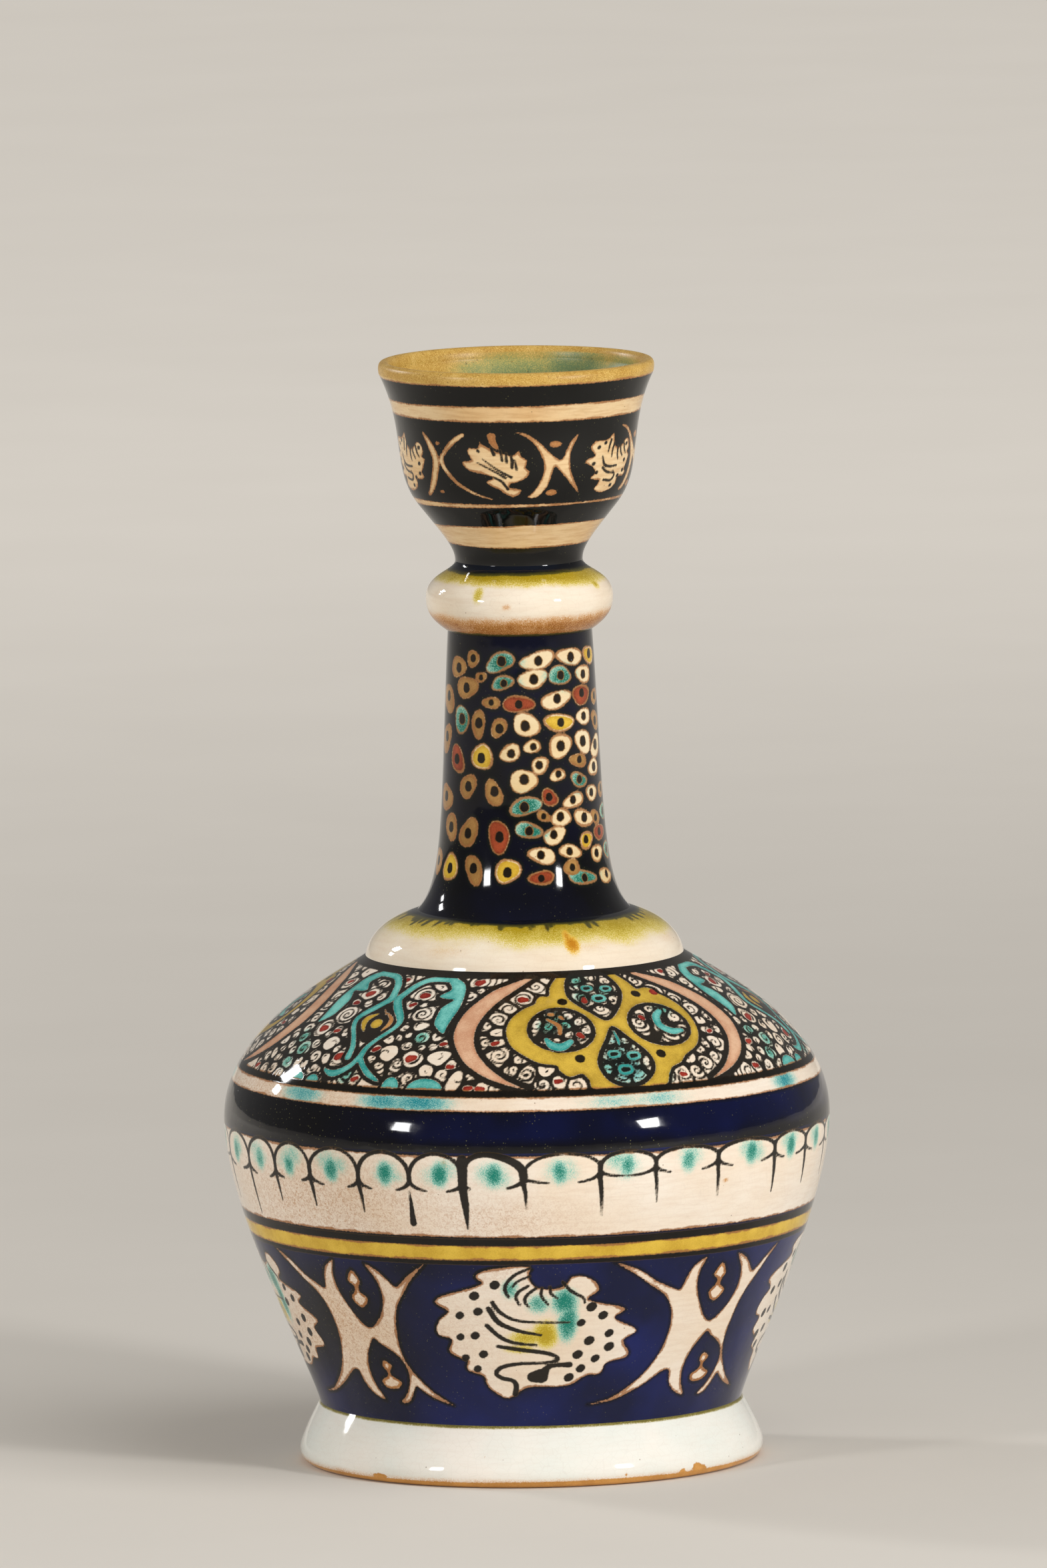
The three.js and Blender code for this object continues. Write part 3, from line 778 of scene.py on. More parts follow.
# %% Wind the scrolls
def wind_scrolls(canvas, room, scrolls, random):
    """Black line work: each scroll fills the room up to its neighbours, with a line wound inside it."""
    angles, arcs, sizes = (np.array([s[k] for s in scrolls], float) for k in range(3))
    comma = np.array([s[3] == "c" for s in scrolls])
    count = len(scrolls)
    centres = on_surface(canvas, angles, arcs)
    tree = KDTree(count)
    for i, place in enumerate(centres):
        tree.insert(place, i)
    tree.balance()
    rows, cols = np.nonzero((room > -0.6) & (canvas.arc[:, None] > BAND_FOOT - 1.5))
    places = on_surface(canvas, canvas.angle[cols], canvas.arc[rows])
    near = np.array([[hit[1] for hit in tree.find_n(p, NEIGHBOURS)] for p in places])
    apart = np.linalg.norm(places[:, None, :] - centres[near], axis=2) - sizes[near]
    order = np.argsort(apart, axis=1)
    own = np.take_along_axis(near, order, axis=1)[:, 0]
    apart = np.take_along_axis(apart, order, axis=1)
    second, third = (apart[:, 1] - apart[:, 0]) / 2, (apart[:, 2] - apart[:, 0]) / 2
    # Corners between three scrolls are filled, so that each scroll comes out round
    between = ROUND - np.hypot(np.maximum(ROUND - second, 0), np.maximum(ROUND - third, 0))
    pitch = np.where(comma, random.uniform(3.0, 3.8, count), random.uniform(1.4, 1.8, count))[own]
    hand = np.where(random.random(count) < 0.5, 1.0, -1.0)[own]
    start = random.random(count)[own]
    turn = (canvas.angle[cols] - angles[own] + 180) % 360 - 180
    x, y = np.radians(turn) * canvas.radius[rows], canvas.arc[rows] - arcs[own]
    away, heading = np.hypot(x, y), np.arctan2(y, x)
    winding = away / pitch - hand * heading / (2 * math.pi) + start
    weight = random.uniform(0.22, 0.32, count)[own] * (1 + 0.3 * np.cos(heading - NEARLY_A_TURN * start))
    line = np.abs(winding - np.round(winding)) * pitch - weight
    line = np.where(comma[own] & (away > 0.75 * sizes[own]), FAR, line)
    canvas.paint["scrolls"] = np.full(canvas.size, FAR)
    canvas.paint["scrolls"][rows, cols] = np.minimum(between - random.uniform(0.3, 0.46, count)[own], line)
    for angle, arc, size, kind in scrolls:
        if kind == "r":
            spot = min(1.35, 0.42 * size + random.uniform(0.1, 0.3))
            end = (angle + 0.5, arc + random.uniform(-0.5, 0.5), spot * 0.75)
            mark = canvas.stroke([(angle - 0.5, arc - 0.3, spot), end])
            canvas.lay("red", mark)
            canvas.spare("scrolls", mark, 0.1)
        elif kind == "t":
            canvas.bleed("wash", angle, arc, 2.6, 2.6, 1.1)
    return canvas.paint["scrolls"]


# %% Small marks of the shoulder
STRAP_DOTS = [(10.5, 48.6), (34, 50), (11.7, 27), (30.6, 27)]
# Small eyes painted in the four cells: angle, arc, size in mm
EYELETS = [(19.5, 53.8, 1.45), (25.6, 53.2, 1.45), (21.8, 49.3, 1.8), (19.7, 27.9, 1.5), (24.1, 27, 1.6),
           (21.3, 22.7, 1.8)]
CELL_CURLS = [
    ("turquoise", [(4.8, 34, 0.7), (6, 31.8, 1.3), (8.2, 31.2, 1.4), (10.4, 33, 0.9)]),
    ("turquoise", [(37.2, 42.2, 0.8), (35, 40.2, 1.2), (34.4, 37, 1.2), (36.6, 34.4, 1.3),
                   (39.6, 34.2, 0.7)]),
    ("tan", [(5.6, 41.6, 0.5), (8.2, 39, 0.75), (8.2, 36, 0.6)]),
    ("tan", [(6.4, 43.6, 0.75), (7, 43.5, 0.75)]),
    ("tan", [(9, 42.4, 0.7), (9.6, 41.6, 0.5)]), ("red", [(12.8, 35.4, 1.0), (13.4, 34.6, 0.8)]),
    ("red", [(17, 48.4, 1.0), (17.2, 49.6, 0.7)]), ("red", [(30.6, 40.6, 0.9), (31, 39.8, 0.7)]),
    ("turquoise", [(21.4, 36.2, 0.3), (21.7, 33, 0.5), (21.5, 31, 0.3)]),
]
DIAMOND = [(-40.2, 47), (-37.6, 43.6), (-34.9, 39.4), (-37, 35.4), (-39.8, 31), (-43.6, 35), (-46, 39.3),
           (-43.4, 43.4)]
DIAMOND_MARKS = [
    ("yellow", [(-39.9, 38.4, 1.75), (-39.7, 38.3, 1.75)]),
    ("yellow", [(-41.6, 42, 0.35), (-43.8, 39.8, 1.1), (-43.4, 37.4, 0.8), (-42, 35.2, 0.3)]),
    ("tan", [(-38.6, 42.6, 0.3), (-36.4, 40.6, 0.6), (-36, 38.4, 0.75), (-37, 36, 0.3)]),
    ("tan", [(-40.4, 43.9, 0.25), (-39, 42.2, 0.3)]),
]
# The cobalt band and the black line under the scrolls: paint, from, to, waver, seed
SHOULDER_STRIPES = (("ground", -9, 11.4, 0.12, 21), ("ground", 15.4, 17.3, 0.12, 22),
                    ("ink", 15.6, 17.2, 0.12, 22))
# Blue runs on the cream line: angle, half width, strength
CREAM_LINE_RUNS = [(-50, 5, 1.0), (-29, 5, 1.2), (-22, 6, 1.3), (17, 7, 0.5), (27, 6, 0.6), (62, 4, 1.2),
                   (100, 5, 1.0), (141, 6, 0.9), (-92, 5, 1.0), (-130, 4, 0.7), (-160, 6, 1.1)]


def draw_small_marks(canvas):
    def reserved(paint, mark):
        """A mark in its own colour, with the ink held off it."""
        canvas.lay(paint, mark)
        canvas.spare("ink", mark)

    for turn in ROUNDEL_TURNS:
        for angle, arc in STRAP_DOTS:
            for paint, size in (("tan", 2.1), ("ink", 1.35)):
                canvas.lay(paint, canvas.stroke([(angle + turn, arc, size), (angle + turn + 0.1, arc, size)]))
        for angle, arc, size in EYELETS:
            right = (angle + turn + 0.5, arc + 0.1, size * 0.9)
            iris = canvas.stroke([(angle + turn - 0.5, arc, size), right])
            canvas.lay("ink", iris, 0.55)
            reserved("turquoise", iris)
            canvas.lay("ink", iris, -0.55 * size)
        for paint, points in CELL_CURLS:
            mark = canvas.brush(turned_by(points, turn))
            canvas.lay("ink", mark, 0.6)
            reserved(paint, mark)
        canvas.bleed("rinse", 21.4 + turn, 25, 5.5, 9.0, 1.0)
        canvas.bleed("wash", 30 + turn, 22, 2.4, 5.0, 0.8)
    for turn in PALMETTE_TURNS:
        canvas.lay("ink", canvas.shape(turned_by(DIAMOND, turn), 3))
        for paint, points in DIAMOND_MARKS:
            reserved(paint, canvas.brush(turned_by(points, turn)))


# %% Shoulder
def paint_shoulder():
    total = lengths_along(shoulder_curve)[-1]
    arcs = rows_of((0, 10.5, 1.5), (10.5, 17.5, 0.6), (17.5, 60, 0.5), (60, total, 0.6))
    canvas = Canvas(shoulder_curve, arcs, columns=800)
    random = np.random.default_rng(12)
    lay_straps(canvas)
    arc, paint = canvas.arc[:, None], canvas.paint
    outlined = np.minimum(paint["outlined"], np.minimum(arc - BAND_FOOT, BAND_TOP - arc))
    in_cells = -paint["cells"] - CELL_LINE
    room = np.maximum(outlined, in_cells)

    scrolls = [(angle + turn, *rest) for turn in PALMETTE_TURNS for angle, *rest in SCROLLS]
    for turn in ROUNDEL_TURNS:
        scrolls += [(angle + turn, *rest) for angle, *rest in RING_SCROLLS]
        scrolls += [(2 * ROUNDEL_MIDDLE - angle + turn, *rest) for angle, *rest in RING_SCROLLS]
    scrolls = scatter_scrolls(canvas, outlined, scrolls, random, *BETWEEN_STRAPS)
    scrolls = scatter_scrolls(canvas, in_cells, scrolls, random, *IN_CELLS)
    # Ink everywhere but on the straps; outlines where a strap is near
    ink = np.minimum(wind_scrolls(canvas, room, scrolls, random), room)
    ink = np.maximum(ink, -np.maximum(paint["straps"], -paint["cells"]))
    paint["ink"] = np.minimum(paint["ink"], np.maximum(ink, BAND_FOOT - 1.4 - arc))

    draw_small_marks(canvas)
    for stripe in SHOULDER_STRIPES:
        canvas.band(*stripe)
    canvas.band("ink", BAND_TOP - 0.9, total + 1, waver=0.2, seed=23)
    for angle, wide, power in CREAM_LINE_RUNS:
        canvas.bleed("rinse", angle, 13.6, wide * 1.5, 3.0, power)
    # The cobalt went black low on the band; round its left side it is darkened further as painted shade
    edge = 4.6 + 1.2 * unsteady(canvas.angle, 24) + 0.7 * unsteady(7 * canvas.angle, 25)
    canvas.soak("speckle", np.clip((edge - arc) / 3.0, 0, 1))
    canvas.bleed("speckle", -62, 6, 52, 12, 1.3)
    draw_arches(canvas, 0.0)
    print(len(scrolls), "scrolls")
    return canvas


shoulder_canvas = paint_shoulder()
print(f"shoulder painted, {shoulder_canvas.length:.1f} mm up")

# %% [markdown]
# ## Painting the neck
# The neck is dipped in cobalt with rows of eye spots held in reserve. The glaze ate into each spot and
# left a brown rim, and each has a dark pupil. They are taller low on the left, where the painter began.

# %% Neck
# Eye spots on the front: angle, arc, half width in degrees, half height in mm, colour
EYES = [
    (-57, 68.6, 8, 2.6, "tan"), (-40, 71.2, 5.5, 1.9, "tan"), (-16, 70.6, 10, 2.4, "turquoise"),
    (14, 71, 12, 2.2, "cream"), (43, 71.4, 11, 2.3, "cream"), (68, 71, 8, 2.4, "yellow"),
    (-46, 63.3, 9, 2.8, "tan"), (-32, 66.4, 4, 1.3, "tan"), (-14, 65, 8, 1.7, "turquoise"),
    (9.5, 66, 10, 2.3, "cream"), (32, 66.6, 9.5, 2.1, "turquoise"), (57.5, 66.2, 9.5, 2, "cream"),
    (-72, 59.5, 11, 4, "tan"), (-23, 59.5, 6, 1.5, "tan"), (-2, 59.3, 10, 2.1, "red"),
    (28, 60, 11, 2.2, "cream"),
    (53.5, 60.7, 10, 2.2, "red"), (75, 59.5, 6, 2, "tan"), (-51, 54.4, 9, 3.6, "turquoise"),
    (-34, 53.6, 6.3, 3.9, "tan"), (-17, 52.8, 5, 2.4, "tan"), (4, 53.6, 9.5, 2.6, "cream"),
    (30, 53.8, 11, 2.2, "yellow"), (55, 54.7, 8, 1.9, "cream"), (74, 53, 7, 2.3, "tan"),
    (-74, 48.5, 10, 3.9, "tan"), (-30.5, 44.7, 8.6, 3.9, "yellow"), (-8.5, 46, 7, 2, "cream"),
    (8, 47.7, 5.5, 1.6, "cream"), (30, 47.5, 9, 2.7, "cream"), (53, 48, 8.5, 2.7, "cream"),
    (71.5, 46, 7.3, 2.8, "cream"), (-55, 43.5, 9, 3.6, "red"), (13.5, 42.5, 6, 1.9, "cream"),
    (46.5, 43, 7, 1.8, "tan"), (65, 40.5, 7, 2.1, "cream"), (1, 38.3, 8.5, 2.8, "cream"),
    (27, 39.6, 5, 1.6, "cream"), (46, 37.8, 7, 1.9, "turquoise"), (-43, 36.5, 6.6, 2.9, "tan"),
    (-21, 35, 6.8, 3.6, "tan"), (20, 33.6, 5.5, 2, "red"), (40, 32.4, 8, 1.9, "cream"),
    (60, 33.8, 7, 1.8, "cream"), (78, 34, 6, 2, "tan"), (-70, 32.6, 10, 3.8, "tan"),
    (2, 31.5, 9.3, 2.4, "turquoise"), (15, 28.7, 4, 1.4, "tan"), (28.5, 28, 7, 2.1, "cream"),
    (48.5, 27.3, 8.3, 2.2, "cream"), (63, 27, 5, 1.8, "tan"), (78, 28, 6, 2, "turquoise"),
    (-60, 25, 7.6, 3.9, "tan"), (-41, 23.9, 8.3, 4.1, "tan"), (-17, 23.2, 8.2, 4.4, "red"),
    (4, 25, 7.8, 2.1, "turquoise"), (22.5, 23.3, 7.6, 2, "cream"), (49.5, 21.2, 6.3, 2, "yellow"),
    (67, 22.7, 7, 2, "red"), (13, 18, 8.3, 2, "cream"), (34, 18.7, 7.3, 1.8, "cream"),
    (60, 17.3, 7, 1.9, "cream"), (77, 17.5, 6, 2, "turquoise"), (-77, 15, 8, 3.6, "tan"),
    (-57, 14, 8.6, 3.9, "yellow"), (-34.5, 14, 7.3, 3.9, "tan"), (-10.5, 14, 8.2, 3.7, "yellow"),
    (12, 12, 7, 1.8, "red"), (34, 14.3, 6, 1.8, "tan"), (42, 11.4, 10, 1.9, "turquoise"),
    (67, 10.8, 8.6, 1.7, "cream"),
]
# Small spots ran a little wider than they were drawn, and none is dark up to its edge
EYE_SPREAD, SMALL_EYE = 1.18, 3.0
EYE_RIM = {"yellow": 0.6, "tan": 0.1, "red": 0.1}
# The same spots behind: spread, shrunk and kept under the top of the neck
BEHIND_SPACING, BEHIND_SIZE, BEHIND_TOP = 1.12, 0.94, 72
print(len(EYES), "eye spots in front")


# %% Paint the neck
def draw_eye(canvas, angle, arc, wide, tall, colour, random):
    """One eye spot with its dark pupil."""
    spread = EYE_SPREAD if tall < SMALL_EYE else 1.0
    wide, tall = wide * spread, tall * spread
    t = np.linspace(0, 2 * math.pi, 14, endpoint=False)
    lump = 1 + 0.1 * np.sin(2 * t + random.uniform(0, 6.3)) + 0.07 * np.sin(3 * t + random.uniform(0, 6.3))
    slant = random.uniform(-0.25, 0.25)
    points = np.stack([angle + wide * lump * np.cos(t), arc + tall * lump * np.sin(t + slant)], axis=1)
    mark = canvas.shape(points, 2)
    canvas.spare("ground", mark)
    if colour == "turquoise":
        half_width = np.interp(arc, canvas.arc, canvas.radius) * math.radians(wide)
        canvas.bleed("wash", angle + 0.15 * wide, arc - 0.2 * tall, half_width * 1.2, tall * 1.3, 1.5)
    elif colour in EYE_RIM:
        canvas.lay(colour, mark, -EYE_RIM[colour])
    pupil, stretch = min(1.2, 0.36 * tall + 0.15), 0.08 * tall
    x, y = angle + random.uniform(-0.12, 0.12) * wide, arc + random.uniform(-0.1, 0.2) * tall
    dot = canvas.stroke([(x, y - stretch, pupil), (x, y + stretch, pupil * 0.9)])
    canvas.lay("tan", dot, 0.22)
    canvas.lay("ink", dot)


def paint_neck():
    total = lengths_along(neck_curve)[-1]
    canvas = Canvas(neck_curve, rows_of((0, 8, 1.0), (8, 74.5, 0.45), (74.5, total, 0.8)), columns=340)
    canvas.paint["ground"][:] = -FAR
    random = np.random.default_rng(44)
    for eye in EYES:
        draw_eye(canvas, *eye, random)
    for angle, arc, wide, tall, colour in EYES:
        arc = min(BEHIND_TOP, arc + random.uniform(-0.4, 0.6))
        wide, tall = wide * BEHIND_SIZE, tall * BEHIND_SIZE
        draw_eye(canvas, 180 + angle * BEHIND_SPACING, arc, wide, tall, colour, random)
    return canvas


neck_canvas = paint_neck()
print("neck painted with", 2 * len(EYES), "eye spots")

# %% [markdown]
# ## Painting the mouth cup
# The cup repeats the bowl in small: six leaves and six crossed straps held in reserve between cream
# stripes, on a ground that is nearly black. The lip and the inside carry a runny ochre glaze.

# %% The motifs of the cup
CUP_LEAF = [
    (53.5, 40.6), (50.7, 39.4), (46.8, 38.8), (41.2, 38.9), (38.1, 37.2), (40.1, 35.9), (41.2, 34.7),
    (36.7, 34.1), (35.4, 33.1), (40.1, 31.9), (42.3, 30), (39.2, 28.8), (42.3, 28.1), (45.7, 28),
    (44.8, 26.6), (42.9, 25.6), (45.7, 24.5), (50.2, 24.1), (56.9, 25), (60.2, 26.6), (60.2, 28.1),
    (65.8, 28.1), (68.1, 29.1), (66.4, 30), (68.1, 31.3), (69.2, 32.5), (70.3, 33.8), (68.1, 34.7),
    (69.8, 35.9), (68.1, 38.1), (65.3, 38.4), (62.5, 37.2), (58.6, 36.2), (54.8, 37.4),
]
CUP_LEAF_STROKES = [
    [(46.3, 34.4, 0.3), (48, 32.2, 0.4), (52, 31.4, 0.35), (58, 31.4, 0.25)],
    [(46.8, 31.3, 0.35), (50.2, 30, 0.35), (56.3, 29.4, 0.25)],
    [(48.5, 27.8, 0.35), (54.6, 27.4, 0.35), (56.9, 28.8, 0.35), (55.5, 30, 0.25)],
    [(51.9, 38.8, 0.4), (50.8, 37, 0.35), (50.2, 35.6, 0.25)],
    [(54.7, 37.8, 0.4), (53.4, 35.8, 0.35), (53, 34.1, 0.25)],
    [(58, 36.6, 0.4), (57.8, 34.6, 0.35), (58.6, 33.1, 0.25)],
    [(60.3, 36.6, 0.35), (61, 35, 0.35), (62.6, 33.8, 0.25)],
    [(63.6, 37.4, 0.35), (64.4, 35.6, 0.35), (66, 34.4, 0.25)],
]
CUP_LEAF_DOTS = [(43.5, 37), (47.9, 38.1), (40.6, 32.6), (42.9, 30.1), (66.4, 36.9), (65.3, 32.5),
                 (64.7, 29.7), (60.2, 28.4), (55.2, 25.9)]
CUP_STRAPS = [
    (-0.8, 42.2), (3.7, 42), (9.9, 39.7), (15.5, 36.6), (19.4, 34.7), (22.2, 34.4), (24.4, 36.9),
    (26.7, 39.4), (30.8, 41.4), (27.8, 38.1), (26.4, 35.6), (26.7, 31.9), (29.5, 28.1), (33.6, 24.2),
    (28.9, 26.6), (23.3, 30), (18.8, 32.6), (17.1, 30.6), (14.9, 26.9), (9.9, 23.9), (5, 23.9),
    (8.7, 25.9), (12.1, 29.4), (13.2, 32.5), (11.5, 35.9), (7.1, 39.7), (2.6, 41.4),
]
# The leaf and the straps to its left, where the painter's hand leaned over
LEANING_LEAF = [
    (-18.1, 39.7), (-17, 38.8), (-14.2, 38.1), (-12, 37.2), (-8.6, 36.6), (-5.6, 36.1), (-2.5, 35.6),
    (0.7, 37.2), (1.7, 35.6), (4.8, 34.4), (3.7, 32.5), (5.9, 31.3), (4.3, 29.7), (-0.2, 28.4),
    (-3.6, 28.1), (-4.1, 26.8), (1.5, 26.3), (0.9, 25), (-2.5, 24.1), (-6.9, 25.3), (-9.7, 26.4),
    (-14.8, 27.8), (-15.3, 28.8), (-12, 29.4), (-13.1, 30.1), (-18.1, 30.9), (-23.7, 31.4),
    (-27.3, 33.1), (-27.1, 34.1), (-22.6, 34.4), (-24.6, 36.6), (-23.7, 37.8), (-19.2, 37.8),
]
LEANING_RIB = [(-14.2, 41.9), (-10.5, 42), (-10.3, 40), (-9, 38.2), (-9.5, 37.4), (-13, 39), (-14, 40.5)]
LEANING_STROKES = [
    [(-20, 33.8, 0.18), (-13, 31.9, 0.26), (-6, 29.6, 0.3)],
    [(-17, 34.8, 0.18), (-9, 31.6, 0.28), (-3, 29.8, 0.35)],
    [(-12, 29.8, 0.28), (-8, 28.6, 0.36), (-5, 26.4, 0.35)], [(-8.3, 37.2, 0.35), (-7.4, 34.5, 0.35)],
    [(-5.4, 36.4, 0.35), (-5.2, 34, 0.35)], [(-2.9, 35.6, 0.35), (-2.6, 32.5, 0.4)],
    [(-1.4, 34.6, 0.25), (-0.4, 32, 0.35)], [(-12.6, 38, 0.35), (-11.4, 36.2, 0.5)],
    [(-19.4, 37.2, 0.4), (-19, 36.9, 0.4)],
]
LEANING_STRAPS = [
    [(-50.5, 41.2, 0.4), (-46.5, 38, 1.0), (-43.6, 34, 1.2), (-46, 29, 1.1), (-50, 25.5, 0.8),
     (-53.5, 23.8, 0.4)],
    [(-26.5, 41.4, 0.5), (-32, 39.5, 0.7), (-37.4, 36.5, 0.6), (-40, 34, 0.7), (-37.2, 31, 0.6),
     (-31, 27.5, 0.5), (-22, 24.8, 0.35), (-14, 23.4, 0.2)],
    [(-44, 34.2, 0.7), (-39.6, 33.8, 0.7)],
]
LEANING_TURN = -60
CUP_TURNS = (0, 60, 120, 180, LEANING_TURN, -120)
print("cup leaf:", len(CUP_LEAF), "points, leaning leaf:", len(LEANING_LEAF))


# %% Draw the motifs of the cup
def draw_cup_leaf(canvas, random, turn):
    """One leaf of the cup, with the crossed straps to its left."""
    sway, tip = turn - 1 + random.uniform(-1, 1), random.uniform(-0.5, 0.5)
    canvas.spare("ground", canvas.shape(turned_by(CUP_LEAF, sway, None, tip), 2))
    for points in CUP_LEAF_STROKES:
        canvas.lay("ink", canvas.brush(turned_by(points, sway, None, tip)))
    for a, s in turned_by(CUP_LEAF_DOTS, sway, None, tip):
        canvas.lay("ink", canvas.stroke([(a - 0.3, s, 0.5), (a + 0.3, s + 0.1, 0.5)]))
    canvas.spare("ground", canvas.shape(turned_by(CUP_STRAPS, turn), 2))


def draw_leaning_leaf(canvas):
    for points in (LEANING_LEAF, LEANING_RIB):
        canvas.spare("ground", canvas.shape(points, 2))
    for points in LEANING_STROKES:
        canvas.lay("ink", canvas.brush(points))
    canvas.lay("tan", canvas.shape(LEANING_RIB))
    for points in LEANING_STRAPS:
        canvas.spare("ground", canvas.brush(points))


# %% Mouth cup
# Stripes of the cup: paint, from, to, waver, seed, and how far it leans, towards which angle
CUP_STRIPES = (("ground", -2, 5.6, 0.2, 61), ("ground", 13.0, 20.0, 0.2, 62, 1.0, 40),
               ("ground", 21.6, 45.1, 0.12, 63), ("ground", 49.5, 55.6, 0.2, 64, 0.4, 60))
# Ovals between the straps: angle, arc
CUP_OVALS = ((18.6, 38.7), (17.4, 25.1))
# Runs of green down the inside of the cup: angle, mm below the lip, half width, half height, strength
INSIDE_WASHES = [(-160, 3.5, 8, 4, 0.8), (178, 3.5, 16, 5, 1.1), (150, 3, 12, 6, 1.5), (120, 3, 10, 5, 1.3),
                 (60, 10, 12, 6, 0.8), (-60, 9, 10, 6, 0.8)]


def paint_cup():
    total = lengths_along(cup_curve)[-1]
    outside = lengths_along(np.vstack([stem_curve, cup_wall_curve[1:]]))[-1]
    over_lip = outside + lengths_along(lip_curve)[-1]
    arcs = rows_of((0, 20, 0.8), (20, 45.5, 0.42), (45.5, over_lip, 0.5), (over_lip, total, 2.0))
    canvas = Canvas(cup_curve, arcs, columns=440)
    for stripe in CUP_STRIPES:
        canvas.band(*stripe)
    random = np.random.default_rng(9)
    for turn in CUP_TURNS:
        leaning = turn == LEANING_TURN
        if leaning:
            draw_leaning_leaf(canvas)
        else:
            draw_cup_leaf(canvas, random, turn)
        for angle, arc in CUP_OVALS:
            across, along = (1.6, 0.5) if leaning else (3.2, 0.95)
            mark = canvas.shape(turned_by(ring(angle, arc, across, along, 8), turn))
            canvas.spare("ground", mark)
            canvas.lay("tan", mark)
    arc = canvas.arc[:, None]
    canvas.soak("ochre", np.clip((arc - outside + 0.2 + 0.45 * unsteady(canvas.angle, 65)) / 0.7, 0, 1))
    for angle, down, *run in INSIDE_WASHES:
        canvas.bleed("wash", angle, over_lip + down, *run)
    canvas.soak("wash", np.clip((arc - over_lip - 9 + 2.5 * unsteady(canvas.angle, 66)) / 9, 0, 0.9))
    canvas.paint["wash"] *= arc > over_lip - 2.0
    return canvas


cup_canvas = paint_cup()
print(f"cup painted, {cup_canvas.length:.1f} mm up, over the lip and down")

# %% [markdown]
# ## The plain white sections
# Foot, collar and knop are white, with what ran down from the painting above: olive yellow on the upper
# side of the knop and the collar, a drip or two, and a line of ochre where the foot meets the bowl.

# %% White sections
# Chips on the lower edge of the foot: angle, arc, half width, half height
# Pinholes of the foot: angle, arc, size
FOOT_CHIPS = [(40.5, 3.9, 0.9, 1.0), (45.2, 4.7, 1.5, 1.2), (46.2, 3.9, 2.6, 1.3), (-41, 3.7, 2.4, 0.9),
              (160, 4.2, 2.0, 1.2), (-120, 4.0, 1.6, 1.1)]
FOOT_HOLES = ((23.6, 4.6, 0.55), (-12, 10.5, 0.3), (66, 8, 0.3))
# Drips on the collar: angle, mm below its top; and its stained patches: angle, arc, half width
COLLAR_DRIPS = ((19, 12), (128, 9))
COLLAR_STAINS = ((28, 7, 12), (-30, 5, 9), (70, 6, 8), (150, 6, 12))
SHORT_RUNS = 90
# Drips on the knop: angle, mm below its top, half width, half height
KNOP_DRIPS = ((-27, 10.4, 1.4, 2.4), (60, 8.5, 1.5, 1.6), (150, 9.0, 1.2, 2.2))


def flow(canvas, name, start, end, strength, waver, seed):
    """A colour that ran down, from nothing at one arc to its full strength at another, in uneven tongues."""
    tongues = waver * (unsteady(canvas.angle, seed) + 0.5 * unsteady(3 * canvas.angle, seed + 1))
    canvas.soak(name, strength * np.clip((canvas.arc[:, None] - start - tongues) / (end - start), 0, 1))


def paint_foot():
    total = lengths_along(foot_curve)[-1]
    arcs = rows_of((0, 4, 0.3), (4, total - 2, 0.6), (total - 2, total, 0.25))
    canvas = Canvas(foot_curve, arcs, columns=360)
    flow(canvas, "glow", total - 1.1, total - 0.2, 1.4, 0.16, 71)
    canvas.band("tan", -3, 3.5, waver=0.3, seed=72)
    flow(canvas, "stain", 5.2, 3.2, 0.5, 0.3, 73)
    for chip in FOOT_CHIPS:
        canvas.lay("tan", canvas.shape(ring(*chip, 7)))
    for angle, arc, size in FOOT_HOLES:
        for paint, width in (("tan", size), ("ink", size * 0.35)):
            canvas.lay(paint, canvas.stroke([(angle, arc, width), (angle + 0.1, arc, width)]))
    return canvas


def paint_collar():
    total = lengths_along(collar_curve)[-1]
    canvas = Canvas(collar_curve, rows_of((0, total, 0.45)), columns=300)
    flow(canvas, "glow", total - 14.0, total - 3.5, 1.5, 2.0, 74)
    flow(canvas, "glow", total - 19.0, total - 7.0, 0.36, 2.6, 76)
    canvas.band("ground", total - 2.8, total + 2, waver=0.9, seed=75)
    # Short dark runs down from the neck's root
    random = np.random.default_rng(76)
    for angle in random.uniform(-180, 180, SHORT_RUNS):
        end = total - 3.0 - random.uniform(0.1, 1.8) ** 2
        start = (angle, total - 2, random.uniform(0.3, 0.7))
        canvas.lay("ground", canvas.stroke([start, (angle + random.uniform(-1, 1), end, 0.05)]))
    for angle, drop in COLLAR_DRIPS:
        canvas.bleed("glow", angle, total - drop + 2.0, 2.4, 4.6, 1.0)
        canvas.bleed("ochre", angle - 1, total - drop + 2.6, 1.0, 3.2, 1.2)
        canvas.bleed("ochre", angle, total - drop, 1.7, 2.6, 1.7)
    for angle, arc, across in COLLAR_STAINS:
        canvas.bleed("stain", angle, arc, across, 2.4, 0.24)
    return canvas


def paint_knop():
    total = lengths_along(knop_curve)[-1]
    canvas = Canvas(knop_curve, rows_of((0, total, 0.45)), columns=260)
    flow(canvas, "glow", total - 9.2, total - 4.2, 1.5, 1.0, 77)
    for angle, drop, across, along in KNOP_DRIPS:
        canvas.bleed("glow", angle, total - drop, across, along, 1.1)
    flow(canvas, "stain", 9.4, 5.4, 1.0, 0.6, 78)
    canvas.bleed("stain", -8, 11.0, 1.3, 0.9, 0.8)
    canvas.band("ground", total - 2.8, total + 2, waver=0.4, seed=79)
    canvas.band("ground", -2, 0.9, waver=0.2, seed=80)
    return canvas


foot_canvas, collar_canvas, knop_canvas = paint_foot(), paint_collar(), paint_knop()
print("foot, collar and knop painted")

